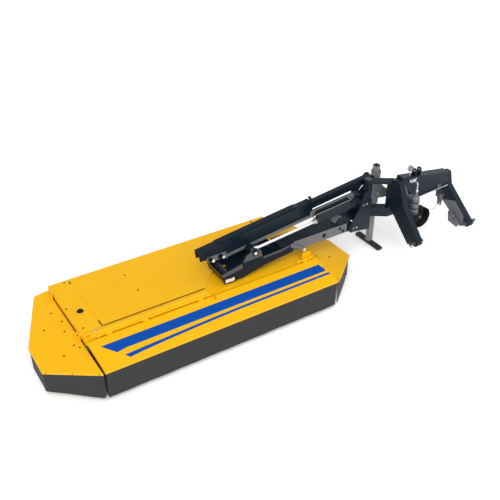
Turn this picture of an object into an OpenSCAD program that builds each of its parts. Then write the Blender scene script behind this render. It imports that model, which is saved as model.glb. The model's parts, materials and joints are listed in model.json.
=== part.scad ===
// Rear disc mower, carried in a three-point hitch and hung from a folding side arm.
// Millimetres. X runs along the cut towards the hitch, Y to the rear, Z up from the floor.

/* [Cover] */
// Length of the top deck between the two end guards
cover_l = 2640; // [2500:10:2800]
// Depth of the cover from front lip to rear edge
cover_d = 1500; // [1450:10:1600]
// Depth of the hinged front guard
flap_d = 406; // [385:1:425]
// Height of the front lip above the floor
lip_z = 375; // [365:1:385]
// Height of the deck at its front edge
deck_front_z = 430; // [420:1:436]
// Height of the deck at its rear edge
deck_rear_z = 394; // [380:1:405]
// Reach of an end guard beyond the deck
guard_w = 453; // [400:1:500]
// Front corner of an end guard, from the front lip
guard_front_y = 390; // [350:1:430]
// Rear corner of an end guard, from the front lip
guard_back_y = 770; // [700:1:850]
// Reach of an end guard at its rear edge
guard_rear_w = 158; // [120:1:220]
// Drop of an end guard to its outer edge
guard_drop = 62; // [40:1:80]
// Sheet thickness of the cover
sheet = 5; // [3:0.5:6]
// Depth of the folded edge round a guard
lip_h = 28; // [20:1:36]
// Depth of the folded edge round the deck
deck_lip = 58; // [52:1:62]
// Gap between guards that move
guard_gap = 6; // [5:0.5:10]
// Height of the curtains' hem above the floor
hem_z = 58; // [45:1:80]
// Thickness of the curtains
curtain_t = 4; // [3:0.5:5]
// Depth of the crowned hinge cover behind the front guard
strip_d = 110; // [95:1:116]
// Rise of the main panel's front edge above the deck
panel_rise = 14; // [8:1:20]

/* [Cutterbar] */
// Distance between neighbouring discs
disc_pitch = 390; // [380:1:398]
// Disc centres, from the front lip
disc_y = 620; // [600:1:640]
// Long radius of a disc
disc_r = 178; // [165:1:182]
// Half width of a disc across its flats
disc_flat = 118; // [100:1:122]
// Radius of the knife tips
knife_r = 245; // [235:1:248]
// Width of a knife
knife_w = 46; // [40:1:50]
// Top of the cutterbar's bed
bed_z = 70; // [62:1:74]
// Thickness of the cutterbar's bed
bed_t = 42; // [36:1:46]
// Rear edge of the bed, from the front lip
bed_rear_y = 980; // [960:1:1000]

/* [Arms] */
// Lower arm hinge, from the left seam
hinge_x = 3170; // [3140:1:3200]
// Height of the lower arm hinge
hinge_arm_z = 595; // [585:1:605]
// Unit pivot, from the left seam
pivot_x = 1600; // [1580:1:1620]
// Front face of the lower arm, from the front lip
arm_front = 485; // [478:1:492]
// Height of the unit pivot
pivot_z = 530; // [525:1:535]
// Radius of the main pivot pins
pin_r = 20; // [16:0.5:22]
// Height of the lower arm's box section
box_h = 120; // [112:1:124]
// Lift cylinder's bore over the wall
barrel_r = 38; // [34:0.5:40]
// Radius of the lift cylinder's rod
rod_r = 15; // [12:0.5:18]
// Height of the upper arm's inner beam
chord_h = 80; // [76:1:84]
// Width of the upper arm's outer channel
channel_w = 92; // [88:1:98]

/* [Hitch] */
// Distance between the lower link pins
link_spread = 825; // [800:1:840]
// Diameter of the lower link pins
link_pin_d = 28; // [22:0.5:36]
// Diameter of the bore for the top link pin
top_bore_d = 25.6; // [19:0.1:32]
// Height of the lower link pins
link_z = 510; // [480:1:540]
// Height of the top link pin
top_link_z = 1138; // [1130:1:1146]
// Half width of the parking stand's leg
leg_half = 30; // [26:0.5:32]
// Radius of the input shaft
shaft_r = 17.4; // [15:0.1:19]

/* [Hidden] */
$fn = 48;
fit = 0.3;
run = 0.05;
disc_n = 7;
plate = 15;

yellow = "gold";
dark = "#20283a";
grey = "#787a7d";
steel = "silver";
rubber = "#303030";

// Left and right ends, front and rear of the whole machine
swing_x = hinge_x + 300;
swing_y = arm_front + 135;
left_leg_x = hinge_x + 490;
right_leg_x = left_leg_x + link_spread;
beam_y = swing_y - 280;
link_y = beam_y - 370;
link_eye_r = 45;
link_boss_r = link_pin_d / 2 + 4;
link_reach = 80;
link_inner = 100;
x_mid = (right_leg_x + link_reach - guard_w) / 2;
y_mid = (cover_d + link_y - link_eye_r) / 2;

// Slopes of the three kinds of cover panel
flap_slope = atan((deck_front_z - lip_z) / flap_d);
deck_y = flap_d + 24;
deck_slope = atan((deck_front_z - deck_rear_z) / (cover_d - deck_y));
guard_slope = atan(guard_drop / guard_w);
guard_tail = 32;
guard_fall = atan(guard_tail / cover_d);
lip_lean = lip_h * sin(guard_slope);
// Lean of the fixed guard's edge along the part of the deck's rim that it meets
rim_lean = (deck_lip - deck_rear_z + lip_z - guard_tail + 1) * sin(guard_slope);

// Front guard hinge and left guard hinge
flap_axis_y = flap_d + 9;
flap_axis_z = deck_front_z + 22;
flap_tube_r = 8;
knuckle_wall = 4;
fold_axis_x = -20;
fold_axis_z = deck_front_z - 15;
fold_pin_r = 6;
fold_spots = [flap_d + 154, cover_d - 160];

// Points of the arm mechanism in the XZ plane
hinge = [hinge_x, hinge_arm_z];
pivot = [pivot_x, pivot_z];
cyl_y = arm_front + 65;
cyl_foot = hinge + [120, 263];
cyl_eye = pivot + [297, 179];
top_y = arm_front + 235;
top_foot = hinge + [390, 415];
top_eye = pivot + [-150, 210];
arm_rear = arm_front + 320;
box_front = arm_front + plate;
box_rear = box_front + 190;
box_x = cyl_eye[0] + 323;
box_z = hinge_arm_z - 45;
stand_x = left_leg_x + 115;
stand_y = swing_y + 220;
beam_d = 100;
leg_out = 15;
leg_in = 55;
leg_t = leg_out + leg_in;
// Ends of the cross beam, and its lower and upper edge at the left and at the right
beam_x = [left_leg_x + leg_in, right_leg_x - leg_in];
beam_low = [link_z + 280, link_z + 328];
beam_high = [link_z + 615, link_z + 502];
function beam_edge(ends, x) = ends[0] + (ends[1] - ends[0]) * (x - beam_x[0]) / (beam_x[1] - beam_x[0]);
function beam_top(x) = beam_edge(beam_high, x);
drive_x = left_leg_x + 335;
drive_z = link_z + 70;

cyl_len = norm(cyl_eye - cyl_foot);
cyl_tilt = atan2(cyl_foot[1] - cyl_eye[1], cyl_foot[0] - cyl_eye[0]);
top_len = norm(top_eye - top_foot);
top_tilt = atan2(top_foot[1] - top_eye[1], top_foot[0] - top_eye[0]);
barrel_end = 580;
rod_in = 532;

// Shared helpers

function left_normal(p, q) = [p[1] - q[1], q[0] - p[0]] / norm(q - p);
function meet(p, d, q, e) = p + d * ((q[0] - p[0]) * e[1] - (q[1] - p[1]) * e[0])
    / (d[0] * e[1] - d[1] * e[0]);
// A convex outline, counter-clockwise, moved inwards by t
function inset(pts, t) = [for (i = [0:len(pts) - 1])
    let (n = len(pts), a = pts[(i + n - 1) % n], b = pts[i], c = pts[(i + 1) % n])
    meet(a + t * left_normal(a, b), b - a, b + t * left_normal(b, c), c - b)];

module placed() { translate([-x_mid, -y_mid, 0]) children(); }
// Plate in an XZ plane: its outline in X and Z, from y to y + t
module xz_plate(y, t) { translate([0, y + t, 0]) rotate([90, 0, 0]) linear_extrude(t) children(); }
// Plate in a YZ plane: its outline in Y and Z, from x to x + t
module yz_plate(x, t) { translate([x, 0, 0]) rotate([90, 0, 90]) linear_extrude(t) children(); }
// Round bar along Y between two stations
module y_bar(p, r, y0, y1) { translate([p[0], y1, p[1]]) rotate([90, 0, 0])
    cylinder(h = y1 - y0, r = r); }
module x_bar(p, r, x0, x1) { translate([x0, p[0], p[1]]) rotate([0, 90, 0])
    cylinder(h = x1 - x0, r = r); }
// Folded sheet panel: a flat top with an edge turned down all round
module tray(pts, t, lip) {
    difference() {
        translate([0, 0, -lip]) linear_extrude(lip) polygon(pts);
        translate([0, 0, -lip - 1]) linear_extrude(lip - t + 1) polygon(inset(pts, t));
    }
}
// Bar with round ends between two points of an XZ plane
module link_2d(p, q, r) {
    d = q - p;
    translate(p) circle(r);
    translate(q) circle(r);
    translate(p) rotate(atan2(d[1], d[0])) translate([0, 2 - r]) square([norm(d), 2 * r - 4]);
}
// Frames that follow the two telescopic members: X from the foot towards the eye
module on_cylinder() { translate([cyl_foot[0], cyl_y, cyl_foot[1]]) rotate([0, 180 - cyl_tilt, 0])
    children(); }
module on_upper() { translate([top_foot[0], top_y, top_foot[1]]) rotate([0, 180 - top_tilt, 0])
    children(); }

// Cover

function guard_pts(gap) = let (c = cos(guard_slope))
    [[-gap, 0], [-gap, cover_d], [-guard_rear_w / c, cover_d],
    [-guard_w / c, guard_back_y], [-guard_w / c, guard_front_y]];
module on_guard() { translate([0, 0, lip_z]) rotate([-guard_fall, 0, 0]) rotate([0, -guard_slope, 0])
    children(); }
module guard_sheet(gap) { on_guard() tray(guard_pts(gap), sheet, lip_h); }
function on_floor(pts) = [for (p = pts) [p[0] * cos(guard_slope),
    p[1] * cos(guard_fall) + p[0] * sin(guard_slope) * sin(guard_fall)]];
module guard_curtain(gap) {
    seat = sheet + lip_lean + fit;
    outer = on_floor(inset(guard_pts(gap), seat));
    inner = on_floor(inset(guard_pts(gap), seat + curtain_t));
    intersection() {
        translate([0, 0, hem_z]) linear_extrude(lip_z)
            polygon([outer[2], outer[3], outer[4], outer[0], inner[0], inner[4], inner[3], inner[2]]);
        on_guard() translate([-2 * guard_w, -cover_d, -2 * lip_z])
            cube([4 * guard_w, 3 * cover_d, 2 * lip_z - sheet - fit]);
    }
}
module mirrored_end() { translate([cover_l, 0, 0]) mirror([1, 0, 0]) children(); }
module on_deck() { translate([0, deck_y, deck_front_z]) rotate([-deck_slope, 0, 0]) children(); }
deck_len = (cover_d - deck_y) / cos(deck_slope);
deck_outline = [[0, 0], [cover_l, 0], [cover_l, deck_len], [0, deck_len]];
bracket_x = [pivot_x - 36, pivot_x + 80];
bracket_y = [arm_front + 25, arm_front + 295];
lug_t = 28;
fold_lug_w = 38;

strip_y = 14;
strip_x = [70, 1326];
strip_rise = 22;
panel_y = strip_y + strip_d + 4;
panel_x = [228, 1334];
slot_size = [14, 62];
slot_spots = [[209, deck_len - 96], [cover_l - 186, deck_len - 70]];
// Crowned cover over the front guard's hinge
module hinge_cover() on_deck() yz_plate(strip_x[0], strip_x[1] - strip_x[0])
    polygon([[strip_y, -1], [strip_y + 4, 10], [strip_y + strip_d / 3, strip_rise],
        [strip_y + strip_d * 0.6, strip_rise - 2],
        [strip_y + strip_d - 6, 8], [strip_y + strip_d, -1]]);
// Main panel, lifted along its front edge, with one corner turned away at the arm
module main_panel() on_deck() intersection() {
    yz_plate(0, cover_l) polygon([[panel_y, -1], [panel_y, panel_rise], [deck_len - 8, -1]]);
    translate([0, 0, -2]) linear_extrude(panel_rise + 4)
        polygon([[panel_x[0], 0], [panel_x[1] - panel_y, 0],
            [panel_x[1] + deck_len - panel_y, deck_len], [panel_x[0], deck_len]]);
}

module top_deck() color(yellow) placed() difference() {
    union() {
        on_deck() tray(deck_outline, sheet, deck_lip);
        hinge_cover();
        main_panel();
        for (y = fold_spots) translate([fold_axis_x, y - fold_lug_w / 2, fold_axis_z - 30])
            cube([sheet - 1 - fold_axis_x, fold_lug_w, 30 + fold_pin_r + 5]);
        for (x = flap_lugs) translate([x - 12, flap_axis_y, deck_front_z - sheet])
            cube([24, deck_y + sheet - flap_axis_y,
                flap_axis_z + flap_tube_r + 3 - deck_front_z + sheet]);
    }
    translate([bracket_x[0] - 6, bracket_y[0] - 6, deck_rear_z - 94])
        cube([bracket_x[1] - bracket_x[0] + 12, bracket_y[1] - bracket_y[0] + 12, 200]);
    on_deck() for (p = slot_spots) translate([p[0], p[1], -2 * sheet])
        cube([slot_size[0], slot_size[1], 4 * sheet]);
    for (y = fold_spots) y_bar([fold_axis_x, fold_axis_z], fold_pin_r, y - fold_lug_w, y + fold_lug_w);
    for (x = flap_lugs) x_bar([flap_axis_y, flap_axis_z], flap_tube_r, x - 20, x + 20);
}
module right_guard() color(yellow) placed() mirrored_end() guard_sheet(fit + rim_lean);
module right_curtain() color(rubber) placed() mirrored_end() guard_curtain(fit + rim_lean);
module left_guard() color(yellow) placed() {
    guard_sheet(guard_gap + lip_lean);
    for (y = fold_spots) for (s = [-1, 1]) let (y0 = y + s * (fold_lug_w / 2 + 18)) difference() {
        union() {
            y_bar([fold_axis_x, fold_axis_z], fold_pin_r + 6, y0 - 16, y0 + 16);
            translate([fold_axis_x - 12, y0 - 16, lip_z - 46]) cube([14, 32, fold_axis_z - lip_z + 46]);
        }
        y_bar([fold_axis_x, fold_axis_z], fold_pin_r + run, y0 - 40, y0 + 40);
        on_guard() translate([-100, 0, -200]) cube([100, cover_d, 200 - sheet]);
    }
}
module left_curtain() color(rubber) placed() guard_curtain(guard_gap + lip_lean);
module fold_pins() color(steel) placed()
    for (y = fold_spots) y_bar([fold_axis_x, fold_axis_z], fold_pin_r, y - fold_lug_w / 2 - 36,
        y + fold_lug_w / 2 + 36);

flap_toe = 8;
flap_len = flap_d / cos(flap_slope);
flap_outline = [[guard_gap + flap_toe, 0], [cover_l - guard_gap - flap_toe, 0],
    [cover_l - guard_gap, flap_len],
    [guard_gap, flap_len]];
// Stations of the hinge along X: lugs stand on the deck, knuckles on the front guard
flap_lugs = [130, 700, 1300, cover_l - 240, cover_l - 80];
flap_knuckles = [230, 600, 1200, cover_l - 160];
flap_tube_ends = [[100, 1330], [cover_l - 260, cover_l - 60]];
module on_flap() { translate([0, 0, lip_z]) rotate([flap_slope, 0, 0]) children(); }
module front_guard() color(yellow) placed() {
    on_flap() tray(flap_outline, sheet, lip_h);
    for (x = flap_knuckles) difference() {
        union() {
            x_bar([flap_axis_y, flap_axis_z], flap_tube_r + knuckle_wall, x - 30, x + 30);
            translate([x - 30, flap_d - 26, flap_axis_z - 34]) cube([60, 24, 34]);
        }
        x_bar([flap_axis_y, flap_axis_z], flap_tube_r + 2 * run, x - 50, x + 50);
        on_flap() translate([0, 0, -100]) cube([cover_l, flap_len, 100 - sheet]);
    }
}
// Front curtain, turned back a little way at both ends
curtain_y = sheet + lip_h * sin(flap_slope) + fit;
curtain_x = [guard_gap + flap_toe + sheet + 2, cover_l - guard_gap - flap_toe - sheet - 2];
curtain_back = 280;
module front_curtain() color(rubber) placed() intersection() {
    translate([0, 0, hem_z]) linear_extrude(lip_z) difference() {
        translate([curtain_x[0], curtain_y]) square([curtain_x[1] - curtain_x[0], curtain_back]);
        translate([curtain_x[0] + curtain_t, curtain_y + curtain_t])
            square([curtain_x[1] - curtain_x[0] - 2 * curtain_t, curtain_back]);
    }
    on_flap() translate([-cover_l, -cover_d, -2 * lip_z])
        cube([3 * cover_l, 3 * cover_d, 2 * lip_z - sheet - fit]);
}
module flap_tubes() color(yellow) placed()
    for (e = flap_tube_ends) x_bar([flap_axis_y, flap_axis_z], flap_tube_r, e[0], e[1]);
module deck_bumper() color(rubber) placed() on_deck() translate([128, 470, 0])
    rotate_extrude() polygon([[0, 0], [22, 0], [22, 6], [16, 12], [14, 24], [0, 26]]);
module link_bracket() color(yellow) placed() intersection() {
    xz_plate(deck_y + 14, 8) polygon([[cover_l - 200, lip_z], [cover_l - 40, lip_z],
        [cover_l - 65, deck_front_z + 90],
        [cover_l - 160, deck_front_z + 90]]);
    on_deck() cube([cover_l, 100, 200]);
}

// Unit frame and cutterbar

beam_box = [740, 860, 270, 362];
beam_box_in = 60;
beam_box_t = 8;
bracket_top = deck_front_z + 25;
lug_r = pin_r + 22;
hanger_x = [beam_box_in + 2, cover_l - beam_box_in - 2 - plate];
hanger_w = 90;
hanger_z = 200;
deck_pads = [200, 900, cover_l - 540, cover_l - 240];
deck_pad = [60, 100];
disc_x0 = cover_l / 2 - disc_pitch * (disc_n - 1) / 2;
function disc_x(i) = disc_x0 + disc_pitch * i;
module carrier_beam() color(dark) placed() {
    difference() {
        translate([beam_box_in, beam_box[0], beam_box[2]])
            cube([cover_l - 2 * beam_box_in, beam_box[1] - beam_box[0], beam_box[3] - beam_box[2]]);
        translate([0, beam_box[0] + beam_box_t, beam_box[2] + beam_box_t])
            cube([cover_l, beam_box[1] - beam_box[0] - 2 * beam_box_t,
                beam_box[3] - beam_box[2] - 2 * beam_box_t]);
    }
    // Bracket through the deck with two ears on the unit pin
    translate([bracket_x[0], bracket_y[0], beam_box[3] - 1])
        cube([bracket_x[1] - bracket_x[0], bracket_y[1] - bracket_y[0], bracket_top - beam_box[3]]);
    for (y = [bracket_y[0], bracket_y[1] - lug_t]) xz_plate(y, lug_t) difference() {
        union() {
            translate(pivot) circle(lug_r);
            translate([pivot_x - lug_r, bracket_top - 15])
                square([2 * lug_r, pivot_z - bracket_top + 15]);
        }
        translate(pivot) circle(pin_r + 2 * run);
    }
    // End hangers down to the rear of the cutterbar
    for (x = hanger_x) yz_plate(x, plate)
        polygon([[beam_box[0], beam_box[3]], [beam_box[1], beam_box[3]], [bed_rear_y, hanger_z],
            [bed_rear_y, bed_z],
            [bed_rear_y - hanger_w, bed_z], [bed_rear_y - hanger_w, hanger_z],
                [beam_box[0], beam_box[2]]]);
    // Pads under the deck
    intersection() {
        for (x = deck_pads) translate([x, beam_box[0] + 10, beam_box[3] - 10])
            cube([deck_pad[0], deck_pad[1], deck_lip * 2]);
        on_deck() translate([0, 0, -sheet - 200]) cube([cover_l, cover_d, 200]);
    }
}
skid_w = 190;
lobe_r = 150;
hub_h = 22;
hub_r = [84, 60];
module cutterbar() color(grey) placed() {
    union() {
        translate([disc_x(0) - lobe_r, disc_y, bed_z - bed_t])
            cube([disc_pitch * (disc_n - 1) + 2 * lobe_r, bed_rear_y - disc_y, bed_t]);
        for (i = [0:disc_n - 1]) translate([disc_x(i), disc_y, 0]) {
            translate([0, 0, bed_z - bed_t]) cylinder(h = bed_t, r = lobe_r);
            translate([0, 0, bed_z - 1]) cylinder(h = hub_h, r1 = hub_r[0], r2 = hub_r[1]);
        }
        for (i = [0:disc_n - 1]) yz_plate(disc_x(i) - skid_w / 2, skid_w)
            polygon([[disc_y - 168, bed_z - 14], [disc_y - 150, 22], [disc_y - 110, 4],
                [disc_y - 70, 0], [bed_rear_y - 60, 0],
                [bed_rear_y - 20, 10], [bed_rear_y - 20, bed_z - bed_t + 1],
                    [disc_y - 120, bed_z - bed_t + 1],
                [disc_y - 150, bed_z - 10]]);
    }
}
hub_z = bed_z + hub_h - 1 + fit;
module disc_body(i) {
    turn = (i % 2) * 90;
    translate([disc_x(i), disc_y, hub_z]) rotate(turn) {
        intersection() {
            translate([0, 0, 12]) cylinder(h = 8, r = disc_r);
            translate([-disc_r, -disc_flat, 0]) cube([2 * disc_r, 2 * disc_flat, 40]);
        }
        rotate_extrude() polygon([[0, 0], [58, 0], [58, 12], [disc_flat - 4, 12], [disc_flat - 4, 20],
            [92, 30], [62, 46],
            [34, 52], [0, 52]]);
        for (s = [0, 180]) rotate(s) {
            translate([disc_r - 46, -knife_w / 2, 8]) cube([knife_r - disc_r + 34, knife_w, 4]);
            translate([disc_r - 22, 0, 4]) cylinder(h = 8, r = 15);
        }
    }
}
drum_top = 262;
module disc(i) color(i == 6 ? dark : grey) placed() {
    disc_body(i);
    if (i == 6) translate([disc_x(i), disc_y, hub_z]) rotate_extrude()
        polygon([[0, 30], [105, 22], [84, 60], [70, 110], [66, drum_top - hub_z - 8],
            [50, drum_top - hub_z], [0, drum_top - hub_z]]);
}
module unit_gearbox() color(dark) placed() {
    translate([disc_x(6) - 85, disc_y - 85, drum_top + 18]) cube([170, beam_box[0] - disc_y + 85, 82]);
    translate([disc_x(6), disc_y, drum_top + fit]) cylinder(h = 30, r = 56);
}

// Arms

eye_r = 46;
eye_foot = pivot + [-60, 40];
upright_r = 18;
ear_y = cyl_y + 50;
arm_tail = pivot + [-107, 50];
arm_toe = pivot + [-70, -75];
arm_heel = pivot + [140, -75];
arm_knee = pivot + [430, -10];
arm_end = box_x + 160;
rear_end = box_x + 16;
floor_x = pivot_x + 100;
floor_t = 8;
module arm_plate_2d() difference() {
    union() {
        polygon([arm_toe, arm_heel, arm_knee, [arm_end, box_z + 10], [arm_end, box_z + box_h - 2],
            [box_x, box_z + box_h - 30],
            [cyl_eye[0] + 97, cyl_eye[1] - 78], [cyl_eye[0] - 152, cyl_eye[1] - 76], arm_tail]);
        translate(cyl_eye) circle(eye_r + 4);
        polygon([cyl_eye + [-156, -82], cyl_eye + [100, -84], cyl_eye + [80, 4], cyl_eye + [36, 30],
            cyl_eye + [-36, 30],
            cyl_eye + [-112, 2]]);
    }
    translate(pivot) circle(pin_r);
}
// Floor between the side plates, from behind the unit's bracket to the box
function arm_floor(z) = [[floor_x, arm_heel[1] + z], arm_heel + [0, z], arm_knee + [0, z],
    [box_x + 4, box_z + z]];
module lower_arm() color(dark) placed() {
    difference() {
        union() {
            translate([box_x, box_front, box_z]) cube([hinge_x - box_x, box_rear - box_front, box_h]);
            y_bar(hinge, boss_r, box_front, box_rear);
        }
        y_bar(hinge, pin_r + 2 * run, box_front - plate, box_rear + plate);
    }
    xz_plate(arm_front, plate) arm_plate_2d();
    xz_plate(arm_rear - plate, plate) difference() {
        polygon([arm_toe, arm_heel, arm_knee, [rear_end, box_z + 4], [rear_end, box_z + box_h / 2],
            arm_knee + [0, 104],
            pivot + [135, 103], arm_tail]);
        translate(pivot) circle(pin_r);
    }
    inside = arm_rear - arm_front - 2 * plate;
    xz_plate(arm_front + plate - 1, inside + 2) {
        polygon(concat(arm_floor(floor_t), [for (i = [3:-1:0]) arm_floor(2 * floor_t)[i]]));
        polygon([arm_toe + [-1, 15], arm_toe + [8, 15], arm_tail + [10, -2], arm_tail + [2, -2]]);
    }
    // Web that joins both side plates to the box
    translate([box_x - 1, arm_front + 1, box_z]) cube([plate, arm_rear - arm_front - 2, box_h / 2]);
    // Inner ear of the cylinder's rod
    xz_plate(ear_y, plate) {
        translate(cyl_eye) circle(eye_r);
        polygon([cyl_eye + [-34, -20], cyl_eye + [20, -170], [box_x + 4, box_z + 12],
            [box_x + 4, box_z + 70],
            cyl_eye + [36, 20]]);
    }
    // Cross tube and upright that carry the upper arm's eye
    y_bar(eye_foot, 16, arm_front + 1, arm_rear - 1);
    xz_plate(top_y - 20, 40) link_2d(eye_foot, top_eye, upright_r);
    for (y = [arm_front - 10, ear_y + plate]) y_bar(cyl_eye, 16, y, y + 10);
}
module unit_pin() color(steel) placed() {
    y_bar(pivot, pin_r, arm_front - 12, arm_rear + 12);
}
tilt_top = [box_x + 130, hinge_arm_z + 60];
tilt_low = [cover_l - 130, deck_front_z + 118];
tilt_t = 10;
tilt_y = arm_front - 23;
module tilt_link() color(grey) placed() {
    xz_plate(tilt_y, tilt_t) difference() {
        link_2d(tilt_top, tilt_low, 16);
        translate(tilt_low) circle(7);
    }
    y_bar(tilt_top, 10, tilt_y, arm_front);
}
// Slotted stop bar on the barrel
stop_ends = [140, 640];
stop_z = 144;
stop_r = 42;
stop_wall = 14;
stop_t = 16;
stop_y = barrel_r + 2;
module lift_barrel() color(dark) placed() on_cylinder() {
    difference() {
        union() {
            translate([46, 0, 0]) rotate([0, 90, 0]) cylinder(h = barrel_end - 46, r = barrel_r);
            translate([barrel_end - 34, 0, 0]) rotate([0, 90, 0]) cylinder(h = 34, r = barrel_r + 2);
            translate([0, 30, 0]) rotate([90, 0, 0]) cylinder(h = 60, r = 34);
            translate([0, -30, -28]) cube([60, 60, 56]);
            translate([stop_ends[0], -stop_y, stop_r - 6 - stop_z])
                cube([barrel_end - stop_ends[0], stop_t, stop_z - stop_r + 6 - barrel_r / 2]);
            xz_plate(-stop_y, stop_t) difference() {
                link_2d([stop_ends[0], -stop_z], [stop_ends[1], -stop_z], stop_r);
                link_2d([stop_ends[0], -stop_z], [stop_ends[1], -stop_z], stop_r - stop_wall);
            }
        }
        translate([60, 0, 0]) rotate([0, 90, 0]) cylinder(h = barrel_end, r = rod_r + run);
        translate([0, 60, 0]) rotate([90, 0, 0]) cylinder(h = 120, r = pin_r + 2 * run);
    }
}
module lift_rod() color(steel) placed() on_cylinder() {
    translate([rod_in, 0, 0]) rotate([0, 90, 0]) cylinder(h = cyl_len - rod_in, r = rod_r);
    difference() {
        union() {
            translate([cyl_len, 30, 0]) rotate([90, 0, 0]) cylinder(h = 60, r = 32);
            translate([cyl_len - 64, 0, 0]) rotate([0, 90, 0]) cylinder(h = 44, r = rod_r + 7);
        }
        translate([cyl_len, 60, 0]) rotate([90, 0, 0]) cylinder(h = 120, r = 14);
    }
}
beam_in = 1180;
beam_bore_in = 90;
beam_wall_t = 8;
chord_w = 64;
channel_start = 820;
channel_end = top_len + 100;
channel_top = 58;
channel_low = [120, 95, 48];
channel_taper = 340;
channel_wall = 6;
pad_l = 60;
pad_x = [channel_start + 4, channel_start + 260];
module upper_beam() color(dark) placed() on_upper() difference() {
    union() {
        translate([0, -chord_w / 2, -chord_h / 2]) cube([beam_in, chord_w, chord_h]);
        translate([0, chord_w / 2, 0]) rotate([90, 0, 0]) cylinder(h = chord_w, r = chord_h / 2);
    }
    translate([0, chord_w, 0]) rotate([90, 0, 0]) cylinder(h = 2 * chord_w, r = pin_r + 2 * run);
    translate([beam_bore_in, -chord_w / 2 + beam_wall_t, -chord_h / 2 + beam_wall_t])
        cube([beam_in, chord_w - 2 * beam_wall_t, chord_h - 2 * beam_wall_t]);
}
// Deep channel over the inner beam, with sliding pads in it and a cover plate on its back
cover_ends = [channel_start + 160, channel_start + 1190];
cover_t = 10;
eye_boss = [14, 24];
module upper_channel() color(dark) placed() on_upper() {
    difference() {
        xz_plate(-channel_w / 2, channel_w) polygon([[channel_start, -channel_top],
            [channel_end, -channel_top],
            [channel_end, channel_low[2]], [channel_end - channel_taper, channel_low[1]],
                [channel_start, channel_low[0]]]);
        translate([channel_start - 1, -channel_w / 2 + channel_wall, -channel_top + channel_wall])
            cube([channel_end - channel_start + 2, channel_w - 2 * channel_wall,
                channel_top + channel_low[0]]);
    }
    xz_plate(-channel_w / 2 + 16, channel_w - 16) polygon([[cover_ends[0], 1 - channel_top],
        [cover_ends[1], 1 - channel_top],
        [cover_ends[1] - 20, -channel_top - cover_t], [cover_ends[0] + 40, -channel_top - cover_t]]);
    for (x = pad_x) translate([x, -chord_w / 2, -channel_top + 1])
        cube([pad_l, chord_w, channel_top - 1 - chord_h / 2 - fit]);
    for (s = [-1, 1]) translate([top_len, s * (channel_w / 2 + 5), 0]) rotate([90, 0, 0])
        cylinder(h = eye_boss[0], r = eye_boss[1], center = true);
}
spring_r = 19;
spring_y = -channel_w / 2 - spring_r - 3;
spring_z = 98;
spring_ends = [channel_start + 30, channel_start + 1115];
coil_pitch = 20;
module relief_spring() color(steel) placed() on_upper() translate([spring_ends[0], spring_y, spring_z])
    rotate([0, 90, 0])
    rotate_extrude() {
        square([spring_r - 8, spring_ends[1] - spring_ends[0]]);
        for (z = [coil_pitch:coil_pitch:spring_ends[1] - spring_ends[0] - coil_pitch])
            translate([spring_r - 9, z - 8]) square([9, 13]);
    }
// Brackets of the spring on the channel's front, and the plate at its outer end
anchor_t = 12;
anchor_h = 66;
end_plate = [[top_len - 152, 84], [top_len - 5, 66]];
end_plate_r = 34;
module spring_anchors() color(grey) placed() on_upper() {
    for (x = [spring_ends[0] - anchor_t, spring_ends[1]])
        translate([x, spring_y - spring_r, spring_z - anchor_h / 2 - 14])
            cube([anchor_t, 2 * spring_r + 3, anchor_h]);
    xz_plate(-channel_w / 2 - anchor_t, anchor_t) link_2d(end_plate[0], end_plate[1], end_plate_r);
}

// Swing frame

boss_r = 52;
tube_r = 50;
side_front = arm_front - 17;
side_rear = box_rear + 32;
side_t = 16;
foot_ear_y = cyl_y + 56;
foot_r = 42;
web_x = swing_x - 110;
web_w = 50;
web_top = hinge_arm_z + 305;
web_low = hinge_arm_z - 80;
side_end = web_x + 30;
side_top = hinge_arm_z + 405;
top_ear_y = [top_y - chord_w / 2 - 5 - side_t, top_y + chord_w / 2 + 5];
king_r = 26;
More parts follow.
